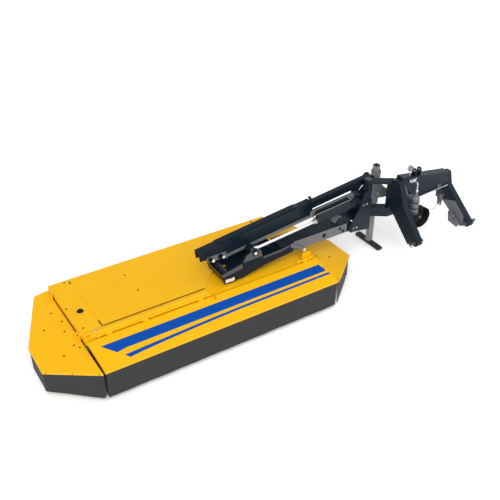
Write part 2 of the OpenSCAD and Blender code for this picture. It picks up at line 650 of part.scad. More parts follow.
// Heights of the lower and the upper ear on the kingpin
ear_t = [110, 30];
king_low = hinge_arm_z + 15;
king_high = hinge_arm_z + 457;
king_gap = 6;
tube_low = king_low + ear_t[0] + king_gap;
tube_high = king_high - ear_t[1] - king_gap;
module side_2d(high) {
    low_edge = [[hinge_x, hinge_arm_z - 49], [side_end, web_low]];
    difference() {
        union() {
            translate(hinge) circle(boss_r + 2);
            if (high) {
                translate(cyl_foot) circle(foot_r);
                polygon(concat([hinge + [-40, 27]], low_edge,
                    [[side_end, side_top], [side_end - 70, side_top], cyl_foot + [-34, 18],
                        cyl_foot + [-30, -24]]));
            } else polygon(concat([hinge + [-18, 45]], low_edge, [[side_end, hinge_arm_z + 105]]));
        }
        translate(hinge) circle(pin_r);
        if (high) translate(cyl_foot) circle(pin_r);
    }
}
module swing_frame() color(dark) placed() difference() {
    union() {
        xz_plate(side_front, side_t) side_2d(true);
        xz_plate(side_rear - side_t, side_t) side_2d(false);
        translate([web_x, side_front, web_low]) cube([web_w, side_rear - side_front, web_top - web_low]);
        translate([swing_x, swing_y, tube_low]) cylinder(h = tube_high - tube_low, r = tube_r);
        translate([web_x + 1, swing_y - tube_r + 4, tube_low])
            cube([swing_x - web_x - 1, 2 * tube_r - 8, web_top - tube_low]);
        // Inner ear for the cylinder's foot
        xz_plate(foot_ear_y, side_t) difference() {
            union() {
                translate(cyl_foot) circle(foot_r);
                polygon([cyl_foot + [-18, -33], [web_x + 10, cyl_foot[1] - 60], [web_x + 10, web_top - 4],
                    cyl_foot + [0, 38]]);
            }
            translate(cyl_foot) circle(pin_r);
        }
        // Ears for the upper arm
        for (y = top_ear_y) xz_plate(y, side_t) difference() {
            union() {
                translate(top_foot) circle(eye_r);
                polygon([top_foot + [-42, 0], [web_x, web_top - 20], [web_x, web_top - 110],
                    [web_x + 40, web_top - 110], top_foot + [2, -41]]);
            }
            translate(top_foot) circle(pin_r);
        }
        translate([web_x, side_rear - 1, web_top - 110])
            cube([40, top_ear_y[1] + side_t - side_rear + 1, 90]);
    }
    translate([swing_x, swing_y, tube_low - 1]) cylinder(h = tube_high - tube_low + 2,
        r = king_r + 2 * run);
}
pin_head = 12;
module swing_pins() color(steel) placed() {
    y_bar(hinge, pin_r, side_front - pin_head, side_rear + pin_head);
    y_bar(cyl_foot, pin_r, side_front - pin_head, foot_ear_y + side_t + pin_head);
    y_bar(top_foot, pin_r, top_ear_y[0] - pin_head, top_ear_y[1] + side_t + pin_head);
}

// Headstock

beam_back = beam_y + beam_d;
leg_top = beam_high[0] - 22;
// Outlines of the broad left leg and of the slim right leg, in Y and Z
left_leg = [[link_y + 30, link_z - 36], [link_y + 110, link_z - 72], [beam_back, beam_low[0] - 28],
    [beam_back, leg_top - 15],
    [beam_y - 20, leg_top], [beam_y - 140, link_z + 325], [link_y - 42, link_z + 34]];
right_leg = [[link_y + 20, link_z - 38], [link_y + 77, link_z - 80], [beam_y + 8, link_z + 102],
    [beam_back, link_z + 210],
    [beam_back, link_z + 480], [beam_y + 30, link_z + 480], [beam_y - 12, link_z + 335],
        [link_y - 32, link_z + 28]];
module leg_2d(pts) difference() {
    union() {
        translate([link_y, link_z]) circle(link_eye_r);
        polygon(pts);
    }
    translate([link_y, link_z]) circle(link_boss_r);
}
module hitch_legs() color(dark) placed() {
    yz_plate(left_leg_x - leg_out, leg_t) leg_2d(left_leg);
    yz_plate(right_leg_x - leg_in, leg_t) leg_2d(right_leg);
}
beam_wall = 10;
beam_outline = [[beam_x[0], beam_low[0]], [beam_x[1], beam_low[1]], [beam_x[1], beam_high[1]],
    [beam_x[0], beam_high[0]]];
module cross_beam() color(dark) placed() difference() {
    xz_plate(beam_y, beam_d) polygon(beam_outline);
    xz_plate(beam_y + beam_wall, beam_d - 2 * beam_wall) polygon(inset(beam_outline, beam_wall));
}
// Post behind the left leg, with two ears that hold the kingpin
post_x = [left_leg_x - leg_out, beam_x[0] + 20];
post_d = 60;
ear_r = 50;
module swing_post() color(dark) placed() difference() {
    union() {
        translate([post_x[0], beam_back, king_low])
            cube([post_x[1] - post_x[0], post_d, king_high - king_low]);
        for (ear = [[king_low, ear_t[0]], [king_high - ear_t[1], ear_t[1]]])
            translate([0, 0, ear[0]]) linear_extrude(ear[1]) {
            translate([swing_x, swing_y]) circle(ear_r);
            polygon([[swing_x - 28, swing_y - 36], [post_x[0], beam_back], [post_x[1], beam_back],
                [post_x[1], beam_back + post_d],
                [swing_x + 28, swing_y + 36]]);
        }
    }
    translate([swing_x, swing_y, king_low - 1]) cylinder(h = king_high - king_low + 2, r = king_r);
}
// Ears of the top link, standing on the cross beam
top_link_x = left_leg_x + 300;
top_link_y = beam_y + beam_d / 2;
top_link_gap = 56;
top_ear_t = 16;
top_ear_r = 32;
module top_link_ears() color(dark) placed() difference() {
    for (s = [-1, 1]) yz_plate(top_link_x + s * (top_link_gap + top_ear_t) / 2 - top_ear_t / 2,
        top_ear_t) difference() {
        union() {
            translate([top_link_y, top_link_z]) circle(top_ear_r);
            translate([top_link_y - top_ear_r + 3, top_link_z - 80]) square([2 * top_ear_r - 6, 80]);
        }
        translate([top_link_y, top_link_z]) circle(top_bore_d / 2);
    }
    xz_plate(beam_y - 1, beam_d + 2) polygon(beam_outline);
}
// Link pins: the ball's length outside, a boss in the leg, a collar and a short end inside
collar_t = 12;
module lower_link_pins() color(steel) placed()
    for (side = [[left_leg_x, 1], [right_leg_x, -1]]) translate([side[0], 0, 0])
        mirror([side[1] > 0 ? 0 : 1, 0, 0]) {
        x_bar([link_y, link_z], link_pin_d / 2, -link_reach, link_inner);
        x_bar([link_y, link_z], link_boss_r, -leg_out, leg_in);
        x_bar([link_y, link_z], link_boss_r + 6, leg_in, leg_in + collar_t);
    }
module kingpin() color(steel) placed() {
    translate([swing_x, swing_y, king_low - 12]) cylinder(h = king_high - king_low + 24, r = king_r);
    translate([swing_x, swing_y, king_high]) cylinder(h = 14, r = 36);
}
house_y = beam_y + 60;
house_r = 66;
house_w = 190;
house_top = beam_low[0] + 170;
stub_l = 120;
journal_l = 190;
journal_r = shaft_r + 4;
module drive_housing() color(grey) placed() difference() {
    union() {
        translate([drive_x, house_y, drive_z]) rotate([-90, 0, 0])
            cylinder(h = house_w + 60, r = house_r);
        translate([drive_x - house_w / 2, beam_back, drive_z - 85]) cube([house_w, house_w, 170]);
        translate([drive_x - house_w / 2, beam_back, drive_z]) cube([house_w, 24, house_top - drive_z]);
        x_bar([beam_back + house_w / 2, drive_z], 58, drive_x - 150, drive_x);
    }
    translate([drive_x, house_y - 1, drive_z]) rotate([-90, 0, 0])
        cylinder(h = journal_l, r = journal_r + run);
}
module input_shaft() color(steel) placed() translate([drive_x, house_y - 10, drive_z])
    rotate([-90, 0, 0]) {
    translate([0, 0, -stub_l]) cylinder(h = stub_l, r = shaft_r);
    cylinder(h = journal_l, r = journal_r);
}
module pto_guard() color(rubber) placed() translate([drive_x, house_y, drive_z]) rotate([90, 0, 0])
    rotate_extrude() polygon([[60, 0], [70, 0], [122, 60], [126, 150], [120, 150], [116, 62], [64, 6],
        [60, 6]]);
tank_r = 45;
tank_h = 200;
tank_x = left_leg_x + 188;
tank_y = beam_y - 100;
tank_z = link_z + 178;
strap_h = 40;
module accumulator() color(grey) placed() translate([tank_x, tank_y, tank_z]) {
    rotate_extrude() polygon([[0, 0], [tank_r - 10, 0], [tank_r, 10], [tank_r, tank_h],
        [tank_r / 2, tank_h + 30],
        [16, tank_h + 30], [16, tank_h + 80], [0, tank_h + 80]]);
    translate([-30, tank_r - 20, tank_h - strap_h]) cube([60, beam_y - tank_y - tank_r + 20, strap_h]);
}
gauge_x = left_leg_x + 178;
gauge_y = beam_y + 30;
gauge_r = 32;
gauge_stem = 70;
module pressure_gauge() color(steel) placed() difference() {
    translate([gauge_x, gauge_y, beam_top(gauge_x)]) {
        translate([0, 0, -10]) cylinder(h = gauge_stem + 10, r = 7);
        translate([0, 14, gauge_stem + gauge_r - 7]) rotate([90, 0, 0]) cylinder(h = 28, r = gauge_r);
    }
    xz_plate(beam_y - 1, beam_d + 2) polygon(beam_outline);
}
valve_size = [90, 30, 26];
valve_x = left_leg_x + 135;
module valve_block() color(steel) placed() translate([valve_x, beam_y - valve_size[1], beam_top(valve_x)
    - 50]) {
    cube(valve_size);
    translate([valve_size[0] - 1, valve_size[1] / 2, valve_size[2] / 2]) rotate([0, 90, 0])
        cylinder(h = 24, r = 9);
    translate([valve_size[0] / 2, valve_size[1] / 2, 1 - 22]) cylinder(h = 22, r = 9);
}
// Holder for the hose ends under the beam, with a wire hook
cup_x = right_leg_x - 188;
cup_y = beam_y - 48;
cup_r = [24, 46];
cup_z = [link_z + 160, link_z + 290];
hook_r = 6;
hook_drop = 170;
hook_back = 46;
module hose_hook() color(steel) placed() {
    translate([cup_x, cup_y, cup_z[0]]) rotate_extrude()
        polygon([[0, 0], [cup_r[0], 0], [cup_r[1], cup_z[1] - cup_z[0]],
        [cup_r[1] - 5, cup_z[1] - cup_z[0]], [cup_r[0] - 5, 6], [0, 6]]);
    translate([cup_x - 30, beam_y - 8, cup_z[1] - 60]) cube([60, 8, 150]);
    translate([cup_x + 20, beam_y - 10, cup_z[1] - hook_drop]) cylinder(h = hook_drop + 20, r = hook_r);
    translate([cup_x + 20, beam_y - 10 - hook_back, cup_z[1] - hook_drop]) rotate([-90, 0, 0])
        cylinder(h = hook_back, r = hook_r);
    translate([cup_x + 20, beam_y - 10 - hook_back, cup_z[1] - hook_drop]) cylinder(h = 34, r = hook_r);
}
sleeve_half = leg_half + 10;
sleeve_low = 560;
sleeve_h = 440;
bracket_t = 12;
stay_t = 30;
stay_x = left_leg_x + 210;
module stand_sleeve() color(grey) placed() difference() {
    union() {
        translate([stand_x - sleeve_half, stand_y - sleeve_half, sleeve_low])
            cube([2 * sleeve_half, 2 * sleeve_half, sleeve_h]);
        // Bracket plate in front of the sleeve and the stay from it to the beam
        xz_plate(stand_y - sleeve_half - bracket_t + 1, bracket_t)
            polygon([[stand_x - sleeve_half, sleeve_low + 90],
            [stay_x + stay_t, sleeve_low + 60], [stay_x + stay_t, sleeve_low + 190],
                [stand_x + sleeve_half, sleeve_low + 270],
            [stand_x - sleeve_half, sleeve_low + 270]]);
        yz_plate(stay_x, stay_t) polygon([[beam_back, beam_low[0] + 30],
            [stand_y - sleeve_half, sleeve_low + 70],
            [stand_y - sleeve_half, sleeve_low + 180], [beam_back, beam_low[0] + 140]]);
    }
    translate([stand_x - leg_half - fit, stand_y - leg_half - fit, sleeve_low - 1])
        cube([2 * (leg_half + fit), 2 * (leg_half + fit), sleeve_h + 2]);
}
foot_l = 420;
foot_t = 34;
stand_top = 1050;
module stand_leg() color(dark) placed() translate([stand_x, stand_y, 0]) {
    translate([-leg_half, -leg_half, foot_t - 4]) cube([2 * leg_half, 2 * leg_half,
        stand_top - foot_t + 4]);
    translate([-leg_half - 4, -foot_l / 2, 0]) cube([2 * leg_half + 8, foot_l, foot_t]);
}

hitch_legs();
cross_beam();
swing_post();
top_link_ears();
lower_link_pins();
kingpin();
drive_housing();
pto_guard();
accumulator();
pressure_gauge();
valve_block();
hose_hook();
stand_sleeve();
input_shaft();
stand_leg();
swing_frame();
swing_pins();
lower_arm();
unit_pin();
tilt_link();
lift_barrel();
lift_rod();
upper_beam();
upper_channel();
relief_spring();
spring_anchors();
top_deck();
right_guard();
right_curtain();
carrier_beam();
cutterbar();
unit_gearbox();
link_bracket();
deck_bumper();
fold_pins();
flap_tubes();
left_guard();
left_curtain();
front_guard();
front_curtain();
for (i = [0:disc_n - 1]) disc(i);
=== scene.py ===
"""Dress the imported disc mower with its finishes, curtains, stripes, fasteners and small fittings.

Lengths are metres. Machine points are counted from the floor under the cover's left front corner:
X along the cut towards the hitch, Y to the rear and Z up.
"""

import json
import logging
import math
from collections.abc import Sequence
from dataclasses import dataclass
from enum import Enum

import bmesh
import bpy
from mathutils import Matrix, Vector


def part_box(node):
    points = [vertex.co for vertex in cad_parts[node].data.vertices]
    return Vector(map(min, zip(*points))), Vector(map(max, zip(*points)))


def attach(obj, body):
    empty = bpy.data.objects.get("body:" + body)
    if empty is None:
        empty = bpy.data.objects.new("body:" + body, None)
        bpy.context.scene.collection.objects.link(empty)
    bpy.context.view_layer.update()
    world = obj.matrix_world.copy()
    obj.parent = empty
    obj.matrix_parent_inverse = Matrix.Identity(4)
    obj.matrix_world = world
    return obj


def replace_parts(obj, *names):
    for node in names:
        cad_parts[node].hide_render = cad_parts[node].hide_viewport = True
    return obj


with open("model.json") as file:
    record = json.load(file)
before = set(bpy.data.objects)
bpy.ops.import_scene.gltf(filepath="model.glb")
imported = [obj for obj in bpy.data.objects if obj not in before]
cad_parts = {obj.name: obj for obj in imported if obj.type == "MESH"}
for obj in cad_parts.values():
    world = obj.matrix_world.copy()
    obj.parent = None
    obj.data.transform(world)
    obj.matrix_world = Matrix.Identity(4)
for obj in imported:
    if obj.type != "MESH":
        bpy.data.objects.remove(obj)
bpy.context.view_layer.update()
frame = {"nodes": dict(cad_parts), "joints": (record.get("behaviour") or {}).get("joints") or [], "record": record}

logging.basicConfig(level=logging.INFO, format="%(name)s: %(message)s")
LOG = logging.getLogger("mower")

Spot = tuple[float, float]
Point = tuple[float, float, float]
Colour = tuple[float, float, float]
Spots = tuple[Spot, ...]
Socket = bpy.types.NodeSocket

TINY = 1e-6
MM = 0.001

# Sizes of the cover that the dressing is laid out on
TUBE_START = 0.100
TUBE_BACK = 0.415
COVER_L = 2.640
COVER_D = 1.500
LIP_Z = 0.375
FLAP_D = 0.406
DECK_Y = 0.430
DECK_Z = 0.430
DECK_FALL = 0.036
DECK_LEN = math.hypot(COVER_D - DECK_Y, DECK_FALL)
GUARD_W = 0.453
GUARD_DROP = 0.062
GUARD_TAIL = 0.032
GUARD_REAR_W = 0.158
GUARD_FRONT_Y = 0.390
GUARD_BACK_Y = 0.770
GUARD_GAP = 0.010
RIGHT_GAP = 0.0014
SHEET = 0.005
LIP_H = 0.028
PANEL_Y = 0.128
PANEL_RISE = 0.014
HEM_Z = 0.058
ROD_EYE = (1.897, 0.709)

# Gaps that keep a piece off the face it sits on
SEAT = 0.0002
CLEAR = 0.0003

# Turns that stand a plane up, facing the front, the rear, the left or the right
UPRIGHT = Matrix.Rotation(math.pi / 2, 4, "X")
REARWARD = Matrix(((1, 0, 0, 0), (0, 0, 1, 0), (0, 1, 0, 0), (0, 0, 0, 1)))
LEFTWARD = Matrix(((0, 0, -1, 0), (1, 0, 0, 0), (0, 1, 0, 0), (0, 0, 0, 1)))
RIGHTWARD = Matrix(((0, 0, 1, 0), (1, 0, 0, 0), (0, 1, 0, 0), (0, 0, 0, 1)))

# Angles from which an edge is sharp, and from which it is rounded
SHARP = math.radians(35)
ROUNDED_FROM = math.radians(40)

# Values of the clouds between which a finish drifts, wears and shines
NONE = (0, 0, 0)
FULL = (1, 1, 1)
DRIFT_SPAN = (0.3, 0.7)
RIDGE_SPAN = (0.53, 0.62)
PATCH_SPAN = (0.45, 0.62)
PATCH_SIZE = 0.03
GLOSS_SPAN = (0.85, 1.2)
BUMP = 0.35


class Body(Enum):
    """The moving bodies of the mower that take dressing."""

    HEADSTOCK = "headstock"
    STAND = "stand"
    SWING = "swing"
    ARM = "arm"
    CYLINDER = "cylinder"
    ROD = "rod"
    UPPER_INNER = "upper_inner"
    UPPER_OUTER = "upper_outer"
    UNIT = "unit"
    END_GUARD = "end_guard"
    FLAP = "flap"
    CUTTER = "cutter_"


class Slot(Enum):
    """The record's material slots."""

    DARK = "dark_paint"
    YELLOW = "yellow_paint"
    GREY = "grey_paint"
    STEEL = "steel"
    CHROME = "chrome"
    RUBBER = "rubber"
    CURTAIN = "curtain"
    CAST = "cast"
    BLADE = "blade_steel"


class Grain(Enum):
    """The kinds of fine relief on a surface."""

    PEEL = "peel"
    CAST = "cast"
    BRUSHED = "brushed"
    WEAVE = "weave"


def srgb(red: int, green: int, blue: int) -> Colour:
    """Turn a colour of 0 to 255 steps into linear values.

    Args:
        red: The red step.
        green: The green step.
        blue: The blue step.

    Returns:
        The linear colour.
    """
    def linear(step: int) -> float:
        """Undo the display curve for one channel."""
        share = step / 255
        return share / 12.92 if share <= 0.04045 else ((share + 0.055) / 1.055) ** 2.4

    return linear(red), linear(green), linear(blue)


class Graph:
    """A material's node tree, with short calls for adding and wiring nodes."""

    def __init__(self, tree: bpy.types.NodeTree) -> None:
        """Keep the tree to work on."""
        self.tree = tree

    def add(self, kind: str, values: dict | None = None, **settings: object) -> bpy.types.Node:
        """Add a node.

        Args:
            kind: The node's type name.
            values: Input values by socket name.
            **settings: Properties of the node.

        Returns:
            The new node.
        """
        node = self.tree.nodes.new(kind)
        for key, value in settings.items():
            setattr(node, key, value)
        for key, value in (values or {}).items():
            node.inputs[key].default_value = value
        return node

    def wire(self, source: Socket, target: Socket) -> None:
        """Link an output to an input."""
        self.tree.links.new(source, target)

    def noise(self, spot: Socket, size: float, detail: float) -> Socket:
        """Add a cloud of a given grain size.

        Args:
            spot: Where the surface point comes from.
            size: Size of the cloud's grain in metres.
            detail: Number of finer octaves.

        Returns:
            The cloud's value socket.
        """
        cloud = self.add("ShaderNodeTexNoise", {"Scale": 1 / size, "Detail": detail})
        self.wire(spot, cloud.inputs["Vector"])
        return cloud.outputs["Fac"]

    def ramp(self, share: Socket, low: tuple, high: tuple, span: Spot) -> Socket:
        """Blend between two colours along a value.

        Args:
            share: The value to follow.
            low: Colour below the span.
            high: Colour above the span.
            span: Values where the blend starts and ends.

        Returns:
            The colour socket.
        """
        node = self.add("ShaderNodeValToRGB")
        stops = node.color_ramp.elements
        stops[0].position, stops[1].position = span
        stops[0].color = (*low, 1.0)
        stops[1].color = (*high, 1.0)
        self.wire(share, node.inputs["Fac"])
        return node.outputs["Color"]

    def mix(self, share: Socket, under: Socket, over: Colour) -> Socket:
        """Lay a plain colour over another colour by a share.

        Args:
            share: How much of the plain colour shows.
            under: The colour below it.
            over: The plain colour.

        Returns:
            The colour socket.
        """
        node = self.add("ShaderNodeMix", data_type="RGBA")
        self.wire(share, node.inputs["Factor"])
        self.wire(under, node.inputs[6])
        node.inputs[7].default_value = (*over, 1.0)
        return node.outputs[2]


@dataclass(frozen=True)
class Finish:
    """One surface finish, written as shader nodes."""

    name: str
    colour: Colour
    roughness: float
    slot: Slot | None = None
    metallic: float = 0.0
    ior: float = 1.5
    specular: float = 0.5
    coat: float = 0.0
    coat_roughness: float = 0.08
    drift: float = 0.05
    drift_size: float = 0.35
    grain: Grain = Grain.PEEL
    grain_size: float = 0.004
    grain_depth: float = 0.00015
    worn: Colour | None = None
    edge: float = 0.0015
    # Painted shade: a darker colour below a height, for the shade round a part's foot
    low: Colour | None = None
    painted_shade_z: float = 0.0

    def material(self) -> bpy.types.Material:
        """Make the finish's material, or find it where it is made already.

        Returns:
            The material.
        """
        made = bpy.data.materials.get(self.name)
        if made:
            return made
        made = bpy.data.materials.new(self.name)
        made.use_nodes = True
        graph = Graph(made.node_tree)
        shader = made.node_tree.nodes["Principled BSDF"]
        levels = {"Metallic": self.metallic, "IOR": self.ior, "Specular IOR Level": self.specular,
                  "Coat Weight": self.coat, "Coat Roughness": self.coat_roughness}
        for name, level in levels.items():
            shader.inputs[name].default_value = level
        spot = graph.add("ShaderNodeTexCoord").outputs["Object"]
        graph.wire(self.tint(graph, spot), shader.inputs["Base Color"])
        graph.wire(self.gloss(graph, spot), shader.inputs["Roughness"])
        graph.wire(self.relief(graph, spot), shader.inputs["Normal"])
        return made

    def shade(self, share: float) -> Colour:
        """Give the base colour made lighter or darker by a share."""
        return tuple(min(1.0, part * share) for part in self.colour)

    def tint(self, graph: Graph, spot: Socket) -> Socket:
        """Let the colour drift, paint shade below a given height, and show the worn colour along sharp edges.

        Args:
            graph: The material's nodes.
            spot: Where the surface point comes from.

        Returns:
            The colour socket.
        """
        cloud = graph.noise(spot, self.drift_size, 4.0)
        drifted = graph.ramp(cloud, self.shade(1 - self.drift), self.shade(1 + self.drift), DRIFT_SPAN)
        # Painted shade: below the given height the colour turns dark
        if self.low is not None:
            axes = graph.add("ShaderNodeSeparateXYZ")
            graph.wire(spot, axes.inputs["Vector"])
            below = graph.add("ShaderNodeMath", operation="LESS_THAN")
            below.inputs[1].default_value = self.painted_shade_z
            graph.wire(axes.outputs["Z"], below.inputs[0])
            drifted = graph.mix(below.outputs[0], drifted, self.low)
        if self.worn is None:
            return drifted
        point = graph.add("ShaderNodeNewGeometry").outputs["Pointiness"]
        ridge = graph.ramp(point, NONE, FULL, RIDGE_SPAN)
        patch = graph.noise(spot, PATCH_SIZE, 5.0)
        patch = graph.ramp(patch, NONE, FULL, PATCH_SPAN)
        share = graph.add("ShaderNodeMath", operation="MULTIPLY")
        graph.wire(ridge, share.inputs[0])
        graph.wire(patch, share.inputs[1])
        return graph.mix(share.outputs[0], drifted, self.worn)

    def gloss(self, graph: Graph, spot: Socket) -> Socket:
        """Let the roughness vary a little over the surface.

        Args:
            graph: The material's nodes.
            spot: Where the surface point comes from.

        Returns:
            The roughness socket.
        """
        low = self.roughness * GLOSS_SPAN[0]
        high = min(1.0, self.roughness * GLOSS_SPAN[1])
        node = graph.add("ShaderNodeMapRange", {"To Min": low, "To Max": high})
        graph.wire(graph.noise(spot, self.drift_size / 3, 5.0), node.inputs["Value"])
        return node.outputs["Result"]

    def relief(self, graph: Graph, spot: Socket) -> Socket:
        """Raise the fine grain over gently rounded edges.

        Args:
            graph: The material's nodes.
            spot: Where the surface point comes from.

        Returns:
            The normal socket.
        """
        bump = graph.add("ShaderNodeBump", {"Strength": BUMP, "Distance": self.grain_depth})
        rounded = graph.add("ShaderNodeBevel", {"Radius": self.edge}, samples=4)
        graph.wire(rounded.outputs["Normal"], bump.inputs["Normal"])
        graph.wire(self.height(graph, spot), bump.inputs["Height"])
        return bump.outputs["Normal"]

    def height(self, graph: Graph, spot: Socket) -> Socket:
        """Make the height of the finish's grain.

        Args:
            graph: The material's nodes.
            spot: Where the surface point comes from.

        Returns:
            The height socket.
        """
        if self.grain is Grain.WEAVE:
            threads = []
            for direction in ("DIAGONAL", "Z"):
                scale = {"Scale": 1 / self.grain_size}
                wave = graph.add("ShaderNodeTexWave", scale, bands_direction=direction)
                graph.wire(spot, wave.inputs["Vector"])
                threads.append(wave.outputs["Fac"])
            both = graph.add("ShaderNodeMath", operation="MULTIPLY")
            graph.wire(threads[0], both.inputs[0])
            graph.wire(threads[1], both.inputs[1])
            return both.outputs[0]
        if self.grain is Grain.BRUSHED:
            stretch = graph.add("ShaderNodeMapping", {"Scale": (1.0, 1.0, 0.03)})
            graph.wire(spot, stretch.inputs["Vector"])
            return graph.noise(stretch.outputs["Vector"], self.grain_size, 3.0)
        detail = 6.0 if self.grain is Grain.CAST else 1.0
        return graph.noise(spot, self.grain_size, detail)


YELLOW = Finish("yellow gloss", srgb(254, 191, 12), 0.38, Slot.YELLOW, ior=1.4, specular=0.3, drift=0.02)
DARK = Finish("blue black paint", srgb(21, 33, 45), 0.34, Slot.DARK, specular=0.22, drift=0.05)
GREY = Finish("grey paint", srgb(112, 114, 118), 0.45, Slot.GREY, specular=0.3, drift=0.03)
# Painted shade: a darker copy of the grey paint, for the arm's front flanges
SHADED_GREY = Finish("shaded grey paint", srgb(86, 87, 90), 0.45, Slot.GREY, specular=0.3, drift=0.03)
# The stand leg's foot takes a painted shade below its given height
STAND_GREY = Finish("stand leg paint with painted foot shade", srgb(138, 140, 143), 0.45, Slot.GREY, specular=0.3, drift=0.03,
                    low=srgb(30, 27, 25), painted_shade_z=0.036)
STEEL = Finish("zinc plate", srgb(205, 206, 208), 0.30, Slot.STEEL, metallic=1.0, drift=0.05)
PIN = Finish("oiled pin steel", srgb(92, 95, 100), 0.40, Slot.STEEL, metallic=0.6, drift=0.06)
# Partly painted reflection: the rod's own bright metal is given as a near-white base with little metallic,
# painting in the white sheen of its reflections
CHROME = Finish("polished rod", srgb(246, 246, 246), 0.40, Slot.CHROME, metallic=0.3, drift=0.02,
                grain_size=0.010, grain_depth=0.00002)
RUBBER = Finish("black rubber", srgb(24, 25, 26), 0.60, Slot.RUBBER, specular=0.25, drift=0.08,
                grain=Grain.CAST, grain_size=0.003)
CURTAIN = Finish("curtain cloth", srgb(56, 56, 57), 0.65, Slot.CURTAIN, specular=0.2, drift=0.04,
                 grain=Grain.WEAVE, grain_size=0.006, grain_depth=0.0004, edge=0.001)
CAST = Finish("cast iron", srgb(58, 62, 66), 0.52, Slot.CAST, drift=0.10, grain=Grain.CAST,
              grain_size=0.006, grain_depth=0.0006, worn=srgb(110, 112, 114))
BLADE = Finish("blade steel", srgb(128, 130, 132), 0.38, Slot.BLADE, metallic=0.9, drift=0.10,
               grain=Grain.BRUSHED, grain_size=0.004, worn=srgb(205, 205, 205))
SPRING_STEEL = Finish("spring steel", srgb(138, 141, 146), 0.36, Slot.STEEL, metallic=0.4, drift=0.06)
BLUE = Finish("blue film", srgb(0, 78, 172), 0.40, specular=0.15, drift=0.02)
WHITE = Finish("white plate", srgb(238, 238, 236), 0.35, coat=0.2, drift=0.02)
DIAL = Finish("dial card", srgb(150, 151, 152), 0.35, coat=0.2, drift=0.02)
BLACK = Finish("black cap", srgb(16, 16, 17), 0.45, Slot.RUBBER, specular=0.3, drift=0.06)
# Painted shade: a dark brown laid on seams, gaps and bolts where the cover's shade falls
PAINTED_SHADE = Finish("joint shade", srgb(112, 70, 8), 0.60, Slot.YELLOW, specular=0.1, drift=0.05)

PLAIN_FINISHES = (YELLOW, DARK, GREY, STEEL, CHROME, RUBBER, CURTAIN, CAST, BLADE)
SLOT_FINISH = {finish.slot: finish for finish in PLAIN_FINISHES}
PIN_NODES = ("swing_pins", "kingpin", "unit_pin", "hose_hook", "fold_pins", "lower_link_pins", "input_shaft")
NODE_FINISH = {"stand_leg": STAND_GREY} | {node: PIN for node in PIN_NODES}


def tube_origin() -> Vector:
    """Find the cover's left front corner from the front guard's hinge tube."""
    low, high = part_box("flap_tubes")
    return Vector((low.x - TUBE_START, (low.y + high.y) / 2 - TUBE_BACK, 0.0))


ORIGIN = tube_origin()


def at(x: float, y: float, z: float) -> Vector:
    """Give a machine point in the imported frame."""
    return ORIGIN + Vector((x, y, z))


def plane(origin: Point, *turns: tuple[float, str]) -> Matrix:
    """Lay a plane on the machine.

    Args:
        origin: The plane's machine point.
        *turns: Angles and the axes that they turn about, in order.

    Returns:
        The plane's matrix, with X and Y in the plane and Z out of it.
    """
    place = Matrix.Translation(at(*origin))
    for angle, axis in turns:
        place = place @ Matrix.Rotation(angle, 4, axis)
    return place


def facing(point: Vector, direction: Point) -> Matrix:
    """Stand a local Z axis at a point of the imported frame, along a direction."""
    return Matrix.Translation(point) @ Vector(direction).to_track_quat("Z", "Y").to_matrix().to_4x4()


def front(y: float) -> Matrix:
    """Lay a plane on a front face, with X along it, Y up and Z out to the front."""
    return plane((0, y, 0)) @ UPRIGHT


def rear(y: float) -> Matrix:
    """Lay a plane on a rear face, with X along it, Y up and Z out to the rear."""
    return plane((0, y, 0)) @ REARWARD


def left(x: float) -> Matrix:
    """Lay a plane on a left face, with X to the rear, Y up and Z out to the left."""
    return plane((x, 0, 0)) @ LEFTWARD


def joint(name: str) -> dict:
    """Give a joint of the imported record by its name."""
    return next(row for row in frame["joints"] if row["name"] == name)


def pivot(name: str) -> Vector:
    """Give the point that a joint turns about."""
    return Vector(joint(name)["pos_m"])


def member(swing: str, slide: str) -> Matrix:
    """Lay a frame along a telescopic member.

    Args:
        swing: The joint at the member's foot.
        slide: The joint that it slides along.

    Returns:
        A matrix with X along the member towards its foot, Y to the rear and Z up.
    """
    along = Vector(joint(slide)["axis"]).normalized()
    rear = Vector((0.0, 1.0, 0.0))
    turn = Matrix((along, rear, along.cross(rear))).transposed()
    return Matrix.Translation(pivot(swing)) @ turn.to_4x4()


FLAP_PLANE = plane((0, 0, LIP_Z), (math.atan2(DECK_Z - LIP_Z, FLAP_D), "X"))
DECK_PLANE = plane((0, DECK_Y, DECK_Z), (-math.atan2(DECK_FALL, COVER_D - DECK_Y), "X"))
GUARD_SLOPE = math.atan2(GUARD_DROP, GUARD_W)
GUARD_PLANE = plane((0, 0, LIP_Z), (-math.atan2(GUARD_TAIL, COVER_D), "X"), (-GUARD_SLOPE, "Y"))
MIRROR = (Matrix.Translation(at(COVER_L, 0, 0)) @ Matrix.Scale(-1, 4, (1, 0, 0))
          @ Matrix.Translation(-at(0, 0, 0)))
UPPER = member("upper_swing", "upper_slide")
CYLINDER = member("cylinder_swing", "rod_slide")


def move(x: float, y: float, z: float) -> Matrix:
    """Give a shift as a matrix."""
    return Matrix.Translation((x, y, z))


def rectangle(x: Spot, y: Spot) -> list[Spot]:
    """Give the corners of a rectangle between its ends along X and along Y."""
    return [(x[0], y[0]), (x[1], y[0]), (x[1], y[1]), (x[0], y[1])]


def rounded(corners: list[Vector], radius: float, steps: int = 6) -> list[Vector]:
    """Round the inner corners of a path.

    Args:
        corners: The path's corner points.
        radius: How far from a corner its curve starts.
        steps: Number of pieces in each curve.

    Returns:
        The points of the rounded path.
    """
    path = [corners[0]]
    for before, corner, after in zip(corners, corners[1:], corners[2:]):
        start = corner + (before - corner).normalized() * radius
        end = corner + (after - corner).normalized() * radius
        for step in range(steps + 1):
            share = step / steps
            path.append(start.lerp(corner, share).lerp(corner.lerp(end, share), share))
    return path + [corners[-1]]


